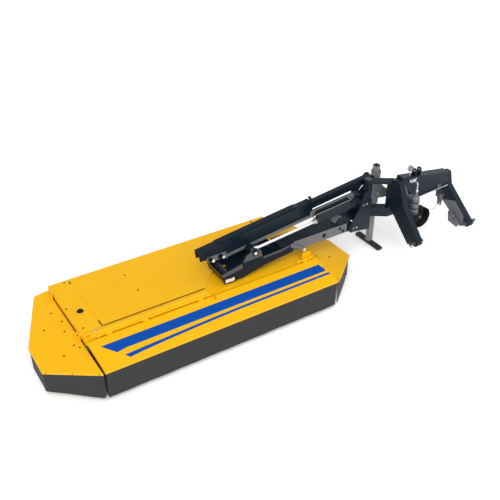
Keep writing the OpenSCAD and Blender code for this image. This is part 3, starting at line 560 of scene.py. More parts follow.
def inset(outline: list[Spot], depth: float) -> list[Spot]:
    """Move the sides of a counter-clockwise outline inwards.

    Args:
        outline: The outline's corners.
        depth: How far each side moves.

    Returns:
        The corners of the smaller outline.
    """
    moved = []
    count = len(outline)
    for i, spot in enumerate(outline):
        corner = Vector(spot)
        before = (corner - Vector(outline[i - 1])).normalized()
        after = (Vector(outline[(i + 1) % count]) - corner).normalized()
        first = Vector((-before.y, before.x))
        second = Vector((-after.y, after.x))
        moved.append(tuple(corner + (first + second) * depth / (1 + first.dot(second))))
    return moved


def stations(path: list[Vector], spacing: float) -> list[tuple[float, Vector]]:
    """Walk along a path in even steps.

    Args:
        path: The path's points.
        spacing: The longest step allowed.

    Returns:
        The distance walked and the point, for each station.
    """
    found = [(0.0, path[0])]
    for before, after in zip(path, path[1:]):
        length = (after - before).length
        count = max(1, math.ceil(length / spacing))
        walked = found[-1][0]
        found += [(walked + length * i / count, before.lerp(after, i / count)) for i in range(1, count + 1)]
    return found


class Form:
    """A mesh under construction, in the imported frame."""

    def __init__(self, name: str) -> None:
        """Start an empty mesh with the piece's name."""
        self.name = name
        self.mesh = bmesh.new()

    def prism(self, outline: Sequence[Spot], low: float, high: float, place: Matrix) -> None:
        """Add a flat outline as a plate.

        Args:
            outline: Corners in the local XY plane.
            low: Local height of its underside.
            high: Local height of its top.
            place: Where the plate goes.
        """
        bottom = [self.mesh.verts.new(place @ Vector((x, y, low))) for x, y in outline]
        top = [self.mesh.verts.new(place @ Vector((x, y, high))) for x, y in outline]
        self.mesh.faces.new(bottom[::-1])
        self.mesh.faces.new(top)
        self.band(bottom, top)

    def band(self, low: list, high: list) -> None:
        """Join two closed rings of points by faces.

        Args:
            low: The first ring.
            high: The second ring. Either may be a single point.
        """
        count = max(len(low), len(high))
        for i in range(count):
            j = (i + 1) % count
            corners = [low[i % len(low)], low[j % len(low)], high[j % len(high)], high[i % len(high)]]
            self.mesh.faces.new(list(dict.fromkeys(corners)))

    def lathe(self, profile: Sequence[Spot], place: Matrix, steps: int = 24) -> None:
        """Add a turned form.

        Args:
            profile: Radius and height of each point, along the local Z axis.
            place: Where the form goes.
            steps: Number of sides.
        """
        rings = []
        for radius, height in profile:
            turns = range(1 if radius < TINY else steps)
            angles = [2 * math.pi * (i + 0.5) / steps for i in turns]
            spots = [Vector((radius * math.cos(a), radius * math.sin(a), height)) for a in angles]
            rings.append([self.mesh.verts.new(place @ spot) for spot in spots])
        for low, high in zip(rings, rings[1:]):
            self.band(low, high)

    def tube(self, path: list[Vector], radius: float, steps: int = 10, closed: bool = False) -> None:
        """Add a round bar along a path.

        Args:
            path: The bar's centre line.
            radius: The bar's radius.
            steps: Number of sides.
            closed: Whether the path's end joins its start.
        """
        rings = []
        side = None
        last = len(path) - 1
        for i, point in enumerate(path):
            ahead = path[(i + 1) % len(path)] if closed or i < last else point
            behind = path[i - 1] if closed or i else point
            along = (ahead - behind).normalized()
            side = along.orthogonal() if side is None else side - along * side.dot(along)
            side.normalize()
            up = along.cross(side)
            angles = [2 * math.pi * k / steps for k in range(steps)]
            spots = [point + (side * math.cos(a) + up * math.sin(a)) * radius for a in angles]
            rings.append([self.mesh.verts.new(spot) for spot in spots])
        for low, high in zip(rings, rings[1:]):
            self.band(low, high)
        if closed:
            self.band(rings[-1], rings[0])
        else:
            self.mesh.faces.new(rings[0][::-1])
            self.mesh.faces.new(rings[-1])

    def ring(self, inner: float, outer: float, height: float, place: Matrix, steps: int = 28) -> None:
        """Add a flat ring of two radii and a height, on a seat with Z pointing out."""
        self.lathe([(inner, 0), (outer, 0), (outer, height), (inner, height), (inner, 0)], place, steps)

    def loop(self, place: Matrix, radius: float, wire: float) -> None:
        """Add a round wire ring.

        Args:
            place: The ring's middle, with Z along its axis.
            radius: Radius of its centre line.
            wire: Radius of the wire.
        """
        angles = [2 * math.pi * i / 24 for i in range(24)]
        spots = [Vector((radius * math.cos(a), radius * math.sin(a), 0)) for a in angles]
        self.tube([place @ spot for spot in spots], wire, 8, closed=True)

    def bolt(self, place: Matrix, across: float = 0.017, rise: float = 0.009) -> None:
        """Add a hexagon bolt head on its washer.

        Args:
            place: The seat, with Z pointing out.
            across: Width across the flats.
            rise: Height of head and washer together.
        """
        plate = 0.2 * rise
        ring = 0.72 * across
        head = across / math.sqrt(3)
        self.lathe([(0, 0), (ring, 0), (ring, plate), (0, plate)], place, 20)
        self.lathe([(0, plate), (head, plate), (head, 0.85 * rise), (0.84 * head, rise), (0, rise)], place, 6)

    def dome(self, place: Matrix, radius: float, rise: float) -> None:
        """Add a round-headed rivet or pin end.

        Args:
            place: The seat, with Z pointing out.
            radius: Radius of the head.
            rise: Height of the head.
        """
        arc = [math.pi / 2 * i / 6 for i in range(7)]
        crown = [(radius * math.cos(a), rise * (0.25 + 0.75 * math.sin(a))) for a in arc[:-1]]
        self.lathe([(0, 0), (radius, 0), *crown, (0, rise)], place, 20)

    def piece(self, body: Body, finish: Finish, bevel: float = 0.0, number: str = "") -> bpy.types.Object:
        """Close the mesh and put it on the machine.

        Args:
            body: The body that the piece rides on.
            finish: The piece's finish.
            bevel: Width of the rounding along its sharp edges.
            number: What follows the body's name where there are several of its kind.

        Returns:
            The new object.
        """
        bmesh.ops.recalc_face_normals(self.mesh, faces=self.mesh.faces)
        data = bpy.data.meshes.new(self.name)
        self.mesh.to_mesh(data)
        self.mesh.free()
        data.materials.append(finish.material())
        data.shade_smooth()
        data.set_sharp_from_angle(angle=SHARP)
        made = bpy.data.objects.new(self.name, data)
        bpy.context.scene.collection.objects.link(made)
        if bevel:
            edge = made.modifiers.new("edge", "BEVEL")
            edge.width = bevel
            edge.segments = 2
            edge.limit_method = "ANGLE"
            edge.angle_limit = ROUNDED_FROM
        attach(made, body.value + number)
        LOG.info("%s on %s, %d faces", self.name, body.value, len(data.polygons))
        return made


class Paintwork:
    """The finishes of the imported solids."""

    def dress(self) -> None:
        """Give every solid the finish of its slot in the record."""
        for part in frame["record"]["subparts"]:
            finish = NODE_FINISH.get(part["node"], SLOT_FINISH[Slot(part["material_slot"])])
            data = frame["nodes"][part["node"]].data
            data.materials.clear()
            data.materials.append(finish.material())
        LOG.info("painted %d solids", len(frame["nodes"]))


@dataclass
class Cover:
    """The bolts and small fittings of the sheet cover."""

    head: Spot = (0.013, 0.007)
    rivet: Spot = (0.007, 0.004)
    panel_bolts: Spots = ((0.750, 0.809), (0.752, 0.475))
    deck_bolts: Spots = (
        (0.025, 0.578), (0.164, 1.030), (0.057, 0.200), (2.300, 0.250), (2.300, 0.700), (2.480, 0.960))
    guard_bolts: Spots = (
        (-0.105, 1.118), (-0.248, 0.920), (-0.060, 0.927), (-0.214, 0.451),
        (-0.087, 0.523), (-0.052, 0.460), (-0.090, 0.770))
    lip_shares: tuple[float, ...] = (0.07, 0.5, 0.93)
    lip_bolts: int = 12
    lip_margin: float = 0.12
    panel: Spot = (0.232, 1.332)
    panel_end: float = DECK_LEN - 0.008
    # Where the films of painted shade lie in the seams, and where the strip of painted shade lies at the left
    # guard
    panel_seam: Spot = (0.0005, 0.0125)
    panel_seam_top: float = 0.0008
    slit: Spot = (0.016, 0.005)
    slit_length: float = 0.11
    slit_top: float = 0.0012
    lip_inset: float = 0.015
    lip_seam: Spot = (-0.030, -0.018)
    lip_seam_top: float = 0.0180
    seal_x: Spot = (-0.0046, -CLEAR)
    seal_z: Spot = (-0.074, -0.048)
    seal_y: Spot = (-DECK_LEN + 0.004, -0.006)
    bumper: Point = (0.128, 0.470, SEAT)
    bumper_ring: Point = (0.0222, 0.034, 0.005)
    slots: Spots = ((0.209, 0.9746), (2.454, 1.0006))
    slot_size: Spot = (0.014, 0.062)
    slot_rim: float = 0.008
    slot_shade: Spot = (-SHEET - 0.0025, -SHEET - CLEAR)
    saddle: Spots = (
        (0.014, SEAT), (0.022, SEAT), (0.034, 0.0210), (0.148, 0.0210), (0.148, 0.0260), (0.028, 0.0260),
        (0.014, 0.0060))
    saddle_y: Spot = (0.044, 0.082)
    saddle_bolt: Point = (0.128, 0.062, 0.0262)
    saddle_head: Spot = (0.019, 0.011)
    catches: tuple[Point, ...] = ((1.346, 0.352, 0.046), (2.608, 0.222, 0.026))
    catch_apart: float = 0.008
    catch_half: float = 0.0025
    catch_pin: Spot = (0.014, 0.004)

    def panel_height(self, y: float) -> float:
        """Give the main panel's height above the deck plane at a local Y."""
        return PANEL_RISE * (self.panel_end - y) / (self.panel_end - PANEL_Y)

    def build(self) -> None:
        """Make the fittings of every panel."""
        # The deck bolts take the painted shade colour, so they show as dark dots of shade
        deck = Form("deck_bolts")
        for x, y in self.panel_bolts:
            deck.bolt(DECK_PLANE @ move(x, y, self.panel_height(y)), *self.head)
        for x, y in self.deck_bolts:
            deck.bolt(DECK_PLANE @ move(x, y, 0), *self.head)
        deck.piece(Body.UNIT, PAINTED_SHADE)
        self.guard("left_guard_bolts", Body.END_GUARD, Matrix.Identity(4))
        self.guard("right_guard_bolts", Body.UNIT, MIRROR)
        lip = Form("front_lip_bolts")
        span = COVER_L - 2 * self.lip_margin
        for i in range(self.lip_bolts):
            x = self.lip_margin + span * i / (self.lip_bolts - 1)
            lip.dome(FLAP_PLANE @ move(x, 0, -LIP_H / 2) @ UPRIGHT, *self.rivet)
        lip.piece(Body.FLAP, YELLOW)
        self.seams()
        self.bumper_ring_and_slot_shade()
        self.hinge_saddle()
        self.flap_catches()

    def guard(self, name: str, body: Body, turn: Matrix) -> None:
        """Make the bolts of one end guard.

        Args:
            name: Name of the piece.
            body: The body that carries the guard.
            turn: Identity for the left guard, or the mirror for the right.
        """
        form = Form(name)
        for x, y in self.guard_bolts:
            form.bolt(turn @ GUARD_PLANE @ move(x, y, 0), *self.head)
        outer = Vector((-GUARD_W / math.cos(GUARD_SLOPE), GUARD_FRONT_Y))
        inner = Vector((-GUARD_GAP, 0.0))
        out = Vector((outer.y, -outer.x)).normalized()
        for share in self.lip_shares:
            spot = outer.lerp(inner, share)
            seat = facing(Vector((spot.x, spot.y, -LIP_H / 2)), (-abs(out.x), -abs(out.y), 0))
            form.dome(turn @ GUARD_PLANE @ seat, *self.rivet)
        # The guard bolts and lip domes take the painted shade colour, so they show as dark dots of shade
        form.piece(body, PAINTED_SHADE)

    def seams(self) -> None:
        """Paint shade as dark films in the seams before the main panel and the deck, and close the seam at the
        left guard with a strip of painted shade.
        """
        upright = DECK_PLANE @ UPRIGHT
        # Painted shade: thin dark films on the panel's front face, beside its left edge and on the deck's front
        # edge
        form = Form("panel_joint_shade")
        face = DECK_PLANE @ move(0, PANEL_Y, 0) @ UPRIGHT
        form.prism(rectangle(self.panel, self.panel_seam), SEAT, self.panel_seam_top, face)
        slit = (self.panel[0] - self.slit[0], self.panel[0] - self.slit[1])
        form.prism(rectangle(slit, (PANEL_Y, PANEL_Y + self.slit_length)), CLEAR, self.slit_top, DECK_PLANE)
        lip = (self.lip_inset, COVER_L - self.lip_inset)
        form.prism(rectangle(lip, self.lip_seam), SEAT, self.lip_seam_top, upright)
        form.piece(Body.UNIT, PAINTED_SHADE)
        # Painted shade: a dark strip that fills the seam at the left guard
        seal = Form("guard_seam_shade")
        seal.prism(rectangle(self.seal_x, self.seal_z), *self.seal_y, upright)
        seal.piece(Body.UNIT, PAINTED_SHADE)

    def bumper_ring_and_slot_shade(self) -> None:
        """Ring the bumper, and close the two slots from below with black plates that paint the shade inside them.
        """
        trim = Form("bumper_ring_and_slot_shade")
        trim.ring(*self.bumper_ring, DECK_PLANE @ move(*self.bumper))
        wide, long = self.slot_size
        rim = self.slot_rim
        # Painted shade: black plates under the slots stand for the shade inside the cover
        for x, y in self.slots:
            backing = rectangle((x - rim, x + wide + rim), (y - rim, y + long + rim))
            trim.prism(backing, *self.slot_shade, DECK_PLANE)
        trim.piece(Body.UNIT, BLACK)

    def hinge_saddle(self) -> None:
        """Strap the hinge cover's left end down with a bent saddle and a bolt."""
        strap = Form("hinge_saddle")
        strap.prism(self.saddle, *self.saddle_y, DECK_PLANE @ REARWARD)
        strap.piece(Body.UNIT, YELLOW, bevel=0.0012)
        bolt = Form("saddle_bolt")
        bolt.bolt(DECK_PLANE @ move(*self.saddle_bolt), *self.saddle_head)
        bolt.piece(Body.UNIT, STEEL)

    def flap_catches(self) -> None:
        """Stand two forked catches on the front guard, each with a cross pin."""
        forks = Form("flap_catches")
        pins = Form("catch_pins")
        pin_half, pin_r = self.catch_pin
        for x, y, length in self.catches:
            tall = 0.6 * length
            outline = [(y, CLEAR), (y + length, CLEAR), (y + length, 0.6 * tall), (y + 0.6 * length, tall),
                       (y + 0.2 * length, tall), (y, 0.5 * tall)]
            ends = []
            for side in (-1, 1):
                cheek = FLAP_PLANE @ move(x + side * self.catch_apart, 0, 0) @ RIGHTWARD
                forks.prism(outline, -self.catch_half, self.catch_half, cheek)
                ends.append(FLAP_PLANE @ Vector((x + side * pin_half, y + 0.45 * length, 0.6 * tall)))
            pins.tube(ends, pin_r)
        forks.piece(Body.FLAP, YELLOW, bevel=0.0008)
        pins.piece(Body.FLAP, STEEL)


@dataclass
class Livery:
    """The blue band and line on the front guard."""

    film: float = 0.0006
    band: Spots = ((0.098, 0.306), (0.203, 0.172), (0.300, 0.187), (2.604, 0.191), (2.588, 0.307))
    line: Spots = (
        (0.286, 0.064), (0.420, 0.078), (0.720, 0.097), (1.050, 0.112), (1.500, 0.125), (2.618, 0.131),
        (2.614, 0.159), (1.500, 0.155), (1.050, 0.143), (0.720, 0.131), (0.480, 0.123), (0.253, 0.112))

    def build(self) -> None:
        """Lay both stripes on the front guard."""
        for name, outline in (("blue_band", self.band), ("blue_line", self.line)):
            form = Form(name)
            form.prism(outline, SEAT, SEAT + self.film, FLAP_PLANE)
            form.piece(Body.FLAP, BLUE)


@dataclass
class Curtain:
    """An upright curtain that stands for one of the soft solids."""

    name: str
    node: str
    carrier: str
    body: Body
    roof: Matrix
    corners: list[Vector]
    corner: float = 0.040
    bend: float = 0.010
    thickness: float = 0.004
    spacing: float = 0.018
    rows: int = 14
    sway: float = 0.0014
    waves: tuple[Point, ...] = ((1.0, 17.0, 0.0), (0.6, 7.3, 1.0))

    def build(self) -> None:
        walk = stations(rounded(self.corners, self.bend), self.spacing)
        width = walk[-1][0]
        form = Form(self.name)
        columns = []
        tallest = 0.0
        for i, (walked, spot) in enumerate(walk):
            ahead = walk[min(i + 1, len(walk) - 1)][1]
            behind = walk[max(i - 1, 0)][1]
            along = (ahead - behind).normalized()
            top = Vector((spot.x, spot.y, self.underside(spot)))
            drop = top.z - HEM_Z - self.corner_lift(min(walked, width - walked))
            tallest = max(tallest, drop)
            across = Vector((along.y, -along.x, 0.0))
            shares = [row / self.rows for row in range(self.rows + 1)]
            spots = [self.point(top, across, drop, walked, share) for share in shares]
            columns.append([form.mesh.verts.new(spot) for spot in spots])
        for low, high in zip(columns, columns[1:]):
            for row in range(self.rows):
                form.mesh.faces.new((low[row], high[row], high[row + 1], low[row + 1]))
        area = sum(face.calc_area() for face in form.mesh.faces)
        sheet = form.piece(self.body, CURTAIN)
        wall = sheet.modifiers.new("thickness", "SOLIDIFY")
        wall.thickness = self.thickness
        wall.offset = 0.0
        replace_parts(sheet, self.node)

    def underside(self, spot: Vector) -> float:
        """Give the height of the carrier's underside above a point of the plan.

        Args:
            spot: The point of the plan.

        Returns:
            The height above the floor.
        """
        up = self.roof.to_3x3() @ Vector((0, 0, 1))
        base = self.roof.translation
        slant = up.x * (spot.x - base.x) + up.y * (spot.y - base.y)
        return base.z - (slant + SHEET + CLEAR) / up.z

    def corner_lift(self, distance: float) -> float:
        """Give the hem's rise at a distance from an end, where its corner is rounded."""
        short = max(0.0, self.corner - distance)
        return self.corner - math.sqrt(self.corner ** 2 - short ** 2)

    def point(self, top: Vector, across: Vector, drop: float, walked: float, share: float) -> Vector:
        """Place the point of the sheet that is a share of the drop below its top edge."""
        wave = sum(size * math.sin(walked * rate + start) for size, rate, start in self.waves)
        return top - Vector((0, 0, drop * share)) + across * self.sway * wave * share ** 2


@dataclass
class Curtains:
    """The three curtains round the cover."""

    seat: float = 0.0111
    front_ends: Spot = (0.023, 2.617)
    front_y: Spot = (0.011, 0.289)
    front_corner: float = 0.006
    overrun: float = 0.026

    def build(self) -> None:
        """Hang the front, left and right curtains."""
        start, end = self.front_ends
        near, far = self.front_y
        plan = [at(x, y, 0) for x, y in ((start, far), (start, near), (end, near), (end, far))]
        front_sheet = self.curtain("front", Body.FLAP, FLAP_PLANE, plan)
        front_sheet.corner = self.front_corner
        front_sheet.build()
        plan = self.guard_plan(GUARD_GAP, Matrix.Identity(4))
        self.curtain("left", Body.END_GUARD, GUARD_PLANE, plan).build()
        plan = self.guard_plan(RIGHT_GAP, MIRROR)
        self.curtain("right", Body.UNIT, MIRROR @ GUARD_PLANE, plan).build()

    def curtain(self, side: str, body: Body, roof: Matrix, plan: list[Vector]) -> Curtain:
        """Name the curtain of one side after its guard."""
        return Curtain(f"{side}_sheet", f"{side}_curtain", f"{side}_guard", body, roof, plan)

    def guard_plan(self, gap: float, turn: Matrix) -> list[Vector]:
        """Lay out the curtain under one end guard, seen from above.

        Args:
            gap: Distance of the guard's inner edge from the seam.
            turn: Identity for the left guard, or the mirror for the right.

        Returns:
            The corners of its centre line on the floor, from the rear to the front.
        """
        stretch = 1 / math.cos(GUARD_SLOPE)
        outline = [(-gap, 0.0), (-gap, COVER_D), (-GUARD_REAR_W * stretch, COVER_D),
                   (-GUARD_W * stretch, GUARD_BACK_Y), (-GUARD_W * stretch, GUARD_FRONT_Y)]
        spots = inset(outline, self.seat)
        path = [turn @ GUARD_PLANE @ Vector((*spots[i], 0)) for i in (2, 3, 4, 0)]
        for spot in path:
            spot.z = 0.0
        path[-1] += (path[-1] - path[-2]).normalized() * self.overrun
        return path


@dataclass
class LowerArm:
    """The fittings of the lower arm, from the unit pivot to the main hinge."""

    face: float = 0.485
    box_face: float = 0.500
    blank: tuple[Spot, Spot] = ((1.541, 1.648), (0.461, 0.503))
    blank_top: float = 0.0016
    port: Point = (1.676, 0.489, SEAT)
    port_ring: Point = (0.006, 0.013, 0.004)
    port_cap: Spot = (0.007, 0.002)
    flanges: tuple[Spots, ...] = (
        ((1.498, 0.577), (1.742, 0.629), (1.742, 0.574), (1.512, 0.540)),
        ((1.754, 0.640), (1.790, 0.708), (1.862, 0.736), (1.932, 0.736), (1.972, 0.708), (1.988, 0.642)),
        ((1.998, 0.629), (2.220, 0.638), (2.376, 0.664), (2.376, 0.645), (2.220, 0.614), (1.998, 0.606)))
    flange_top: float = 0.0030
    facing_plate: tuple[Spot, Spot] = ((2.384, 3.108), (0.5535, 0.6665))
    facing_top: float = 0.0040
    facing_bolt: Spot = (2.796, 0.610)
    facing_head: Spot = (0.038, 0.009)
    doubler: Spots = ((2.905, 0.585), (2.930, 0.560), (3.102, 0.560), (3.102, 0.660), (2.985, 0.660))
    doubler_top: float = 0.0080
    doubler_bolts: Spots = ((3.055, 0.588), (3.010, 0.628))
    doubler_head: Spot = (0.030, 0.006)
    tray: tuple[Spot, Spot] = ((1.560, 1.6998), (0.466, 0.470))
    tray_y: Spot = (0.550, 0.740)
    fender: Spots = (
        (2.985, 0.6703), (2.993, 0.6703), (3.022, 0.722), (3.078, 0.722), (3.078, 0.728), (3.018, 0.728))
    fender_y: Spot = (0.560, 0.640)
    collar: Point = (0.0165, 0.032, 0.008)
    collar_rise: float = 0.010
    cap: Spot = (0.0170, 0.012)
    cap_lift: float = 0.0014
    pivot_pin: Spot = (1.600, 0.530)
    pivot_ring: Point = (0.0205, 0.026, 0.006)
    pivot_rise: float = 0.012
    pivot_cap: Spot = (0.0205, 0.006)
    tilt_face: float = 0.462
    tilt_top: Point = (2.350, 0.655, SEAT)
    tilt_ring: Point = (0.010, 0.024, 0.007)
    tilt_cap: Spot = (0.0105, 0.010)
    tilt_low: Point = (2.510, 0.548, SEAT)
    tilt_bush: Point = (0.0075, 0.0180, 0.006)

    def build(self) -> None:
        """Make the plates, the pin ends and the rings of the tilt link."""
        face = front(self.face)
        plate = Form("blank_plate")
        plate.prism(rectangle(*self.blank), SEAT, self.blank_top, face)
        plate.piece(Body.ARM, WHITE, bevel=0.0006)
        port = Form("arm_port")
        port.ring(*self.port_ring, face @ move(*self.port))
        port.dome(face @ move(*self.port), *self.port_cap)
        port.piece(Body.ARM, BLACK)
        # The flanges take the darker copy of the grey paint, a painted shade
        rims = Form("arm_flanges")
        for outline in self.flanges:
            rims.prism(outline, CLEAR, self.flange_top, face)
        rims.piece(Body.ARM, SHADED_GREY, bevel=0.0008)
        self.box_dressing()
        self.pin_ends()

    def box_dressing(self) -> None:
        """Face the box with a grey plate and its doubler, and add the tray and the fender."""
        face = front(self.box_face)
        plate = Form("arm_facing")
        plate.prism(rectangle(*self.facing_plate), CLEAR, self.facing_top, face)
        plate.prism(self.doubler, self.facing_top, self.doubler_top, face)
        plate.piece(Body.ARM, GREY, bevel=0.0008)
        bolts = Form("arm_facing_bolts")
        for spot in self.doubler_bolts:
            bolts.bolt(face @ move(*spot, self.doubler_top), *self.doubler_head)
        bolts.bolt(face @ move(*self.facing_bolt, self.facing_top), *self.facing_head)
        bolts.piece(Body.ARM, DARK)
        bent = (("arm_tray", rectangle(*self.tray), self.tray_y, DARK),
                ("hinge_fender", self.fender, self.fender_y, GREY))
        for name, outline, (near, far), finish in bent:
            form = Form(name)
            form.prism(outline, -far, -near, front(0))
            form.piece(Body.ARM, finish, bevel=0.0010)

    def pin_ends(self) -> None:
        """Cap the rod's pin and ring both eyes of the tilt link."""
        face = front(self.face)
        collar = Form("rod_eye_collar")
        collar.ring(*self.collar, face @ move(*ROD_EYE, self.flange_top + SEAT))
        collar.ring(*self.pivot_ring, face @ move(*self.pivot_pin, CLEAR))
        collar.dome(front(self.face - self.pivot_rise) @ move(*self.pivot_pin, SEAT), *self.pivot_cap)
        collar.piece(Body.ARM, BLACK, bevel=0.0010)
        cap = Form("rod_eye_cap")
        cap.dome(front(self.face - self.collar_rise) @ move(*ROD_EYE, self.cap_lift), *self.cap)
        cap.piece(Body.ARM, WHITE)
        face = front(self.tilt_face)
        top = Form("tilt_ring")
        top.ring(*self.tilt_ring, face @ move(*self.tilt_top))
        top.dome(face @ move(*self.tilt_top), *self.tilt_cap)
        top.piece(Body.ARM, GREY)
        low = Form("tilt_bush")
        low.ring(*self.tilt_bush, face @ move(*self.tilt_low))
        low.piece(Body.ARM, WHITE)


@dataclass
class UpperArm:
    """The relief spring and the fittings of the telescopic upper arm."""

    coil: float = 0.0150
    wire: float = 0.0042
    wire_sides: int = 8
    pitch: float = 0.0165
    steps: int = 14
    ends: Spot = (-1.9345, -0.8505)
    axis: Spot = (-0.068, -0.098)
    plate_face: float = -0.058
    heads: tuple[Point, ...] = ((-2.118, -0.060, 0.024), (-2.000, -0.074, 0.029))
    head_rise: float = 0.010
    head_cap: float = 0.004
    knobs: Spots = ((-2.086, -0.094), (-1.964, -0.104))
    knob: Spot = (0.0170, 0.018)
    cover_top: float = 0.068
    cover_bolts: tuple[float, ...] = (-1.08, -1.32, -1.56, -1.80, -1.94)
    cover_rows: Spot = (-0.012, 0.030)
    cover_head: Spot = (0.014, 0.008)
    clip: Spots = (
        (-0.868, 0.0583), (-0.800, 0.0583), (-0.796, 0.076), (-0.806, 0.104), (-0.826, 0.104),
        (-0.834, 0.090), (-0.826, 0.086), (-0.816, 0.092), (-0.812, 0.078), (-0.820, 0.0640),
        (-0.868, 0.0640))
    clip_half: float = 0.012

    def build(self) -> None:
        """Wind the spring, then dress its end plate and the channel."""
        self.wind()
        self.end_plate()
        bolts = Form("channel_bolts")
        for i, x in enumerate(self.cover_bolts):
            bolts.bolt(UPPER @ move(x, self.cover_rows[i % 2], self.cover_top), *self.cover_head)
        bolts.piece(Body.UPPER_OUTER, DARK)
        clip = Form("beam_clip")
        clip.prism(self.clip, -self.clip_half, self.clip_half, UPPER @ UPRIGHT)
        clip.piece(Body.UPPER_OUTER, DARK, bevel=0.0008)

    def wind(self) -> None:
        """Wind the spring's wire between its two anchors."""
        start, end = self.ends
        side, drop = self.axis
        count = int((end - start) / self.pitch * self.steps)
        path = []
        for i in range(count + 1):
            angle = 2 * math.pi * i / self.steps
            x = start + (end - start) * i / count
            y = side + self.coil * math.cos(angle)
            z = drop + self.coil * math.sin(angle)
            path.append(UPPER @ Vector((x, y, z)))
        form = Form("spring_coil")
        form.tube(path, self.wire, self.wire_sides)
        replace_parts(form.piece(Body.UPPER_OUTER, SPRING_STEEL), "relief_spring")

    def end_plate(self) -> None:
        """Put two dark pin heads and two white knobs on the plate at the outer end, the knobs' white a painted
        reflection of their chrome.
        """
        face = UPPER @ move(0, self.plate_face, 0) @ UPRIGHT
        heads = Form("end_plate_pins")
        for x, z, radius in self.heads:
            heads.ring(0.5 * radius, radius, self.head_rise, face @ move(x, z, SEAT))
            heads.dome(face @ move(x, z, SEAT), 0.5 * radius, self.head_cap)
        heads.piece(Body.UPPER_OUTER, BLACK, bevel=0.0015)
        # Painted reflection: the chrome knobs are painted white
        knobs = Form("end_plate_knobs_painted_sheen")
        for x, z in self.knobs:
            knobs.dome(face @ move(x, z, SEAT), *self.knob)
        knobs.piece(Body.UPPER_OUTER, WHITE)


@dataclass
class LiftCylinder:
    """The pipe, ports, gland and stop bar of the lift cylinder."""

    barrel: float = 0.038
    pipe: float = 0.007
    pipe_ends: Spot = (-0.556, -0.085)
    pipe_z: Spot = (0.030, 0.062)
    pipe_bend: float = 0.022
    depth: float = 0.012
    port: Spots = ((0, 0), (0.014, 0), (0.014, 0.012), (0.010, 0.016), (0, 0.016))
    port_sink: float = 0.005
    nose: float = -0.580
    bore: float = 0.0156
    gland: Spots = ((0.033, CLEAR), (0.033, 0.020), (0.026, 0.024), (0.026, 0.044), (0.022, 0.048))
    sleeve: Spot = (0.0323, 0.0355)
    sleeve_y: Spot = (0.522, 0.578)
    stop_ends: Spot = (-0.640, -0.140)
    stop_z: float = 0.144
    stop_y: Spot = (-0.040, -0.024)
    # Sizes of the painted shade behind the slot and of the grey frame that paints the edge highlights
    stop_slot_shade: Spot = (0.038, 0.0040)
    stop_frame_highlight: Spot = (0.041, 0.029)
    stop_top: float = 0.0025
    stop_ring: Point = (0.012, 0.0265, 0.008)
    end_steps: int = 12

    def build(self) -> None:
        """Dress the stop bar, run the oil pipe along the barrel and put the gland at its nose."""
        self.stop_bar()
        form = Form("oil_pipe")
        start, end = self.pipe_ends
        low, high = self.pipe_z
        corners = [(start, low), (start, high), (end, high), (end, low)]
        path = [CYLINDER @ Vector((x, self.depth, z)) for x, z in corners]
        form.tube(rounded(path, self.pipe_bend), self.pipe)
        for x in self.pipe_ends:
            form.lathe(self.port, CYLINDER @ move(x, self.depth, self.barrel - self.port_sink), 6)
        form.piece(Body.CYLINDER, DARK)
        gland = Form("rod_gland")
        seat = CYLINDER @ move(self.nose, 0, 0) @ Matrix.Rotation(-math.pi / 2, 4, "Y")
        foot = (self.bore, CLEAR)
        gland.lathe([foot, *self.gland, (self.bore, self.gland[-1][1]), foot], seat)
        gland.piece(Body.CYLINDER, STEEL)
        near, far = self.sleeve_y
        sleeve = Form("rod_eye_sleeve")
        sleeve.ring(*self.sleeve, far - near, front(far) @ move(*ROD_EYE, 0))
        sleeve.piece(Body.ROD, DARK, bevel=0.0010)

    def capsule(self, radius: float) -> list[Spot]:
        """Outline a long round-ended plate on the stop bar's line.

        Args:
            radius: Radius of its ends.

        Returns:
            The corners of the outline.
        """
        low, high = self.stop_ends
        turns = [math.pi * (0.5 + i / self.end_steps) for i in range(self.end_steps + 1)]
        arc = [(radius * math.cos(turn), radius * math.sin(turn)) for turn in turns]
        outer = [(low + x, self.stop_z + z) for x, z in arc]
        return outer + [(high - x, self.stop_z - z) for x, z in arc]

    def stop_bar(self) -> None:
        """Paint the stop bar's bright edges as a grey frame, paint the shade in its slot with a dark back plate,
        and ring its ends.
        """
        upright = CYLINDER @ UPRIGHT
        near, far = self.stop_y
        radius, depth = self.stop_slot_shade
        # Painted shade: a black plate behind the slot
        back = Form("stop_slot_shade")
        back.prism(self.capsule(radius), -far - CLEAR - depth, -far - CLEAR, upright)
        back.piece(Body.CYLINDER, BLACK)
        # Painted highlight: the grey frame stands for the light caught on the bar's edges, with the end rings in
        # the same grey
        trim = Form("stop_frame_highlight")
        outer, inner = [self.capsule(radius) for radius in self.stop_frame_highlight]
        top = self.stop_top
        rings = []
        for outline, height in ((outer, CLEAR), (outer, top), (inner, top), (inner, CLEAR)):
            spots = [upright @ Vector((x, z, -near + height)) for x, z in outline]
            rings.append([trim.mesh.verts.new(spot) for spot in spots])
        for i, ring in enumerate(rings):
            trim.band(ring, rings[(i + 1) % len(rings)])
        for x in self.stop_ends:
            trim.ring(*self.stop_ring, upright @ move(x, self.stop_z, -far - SEAT))
        trim.piece(Body.CYLINDER, GREY)


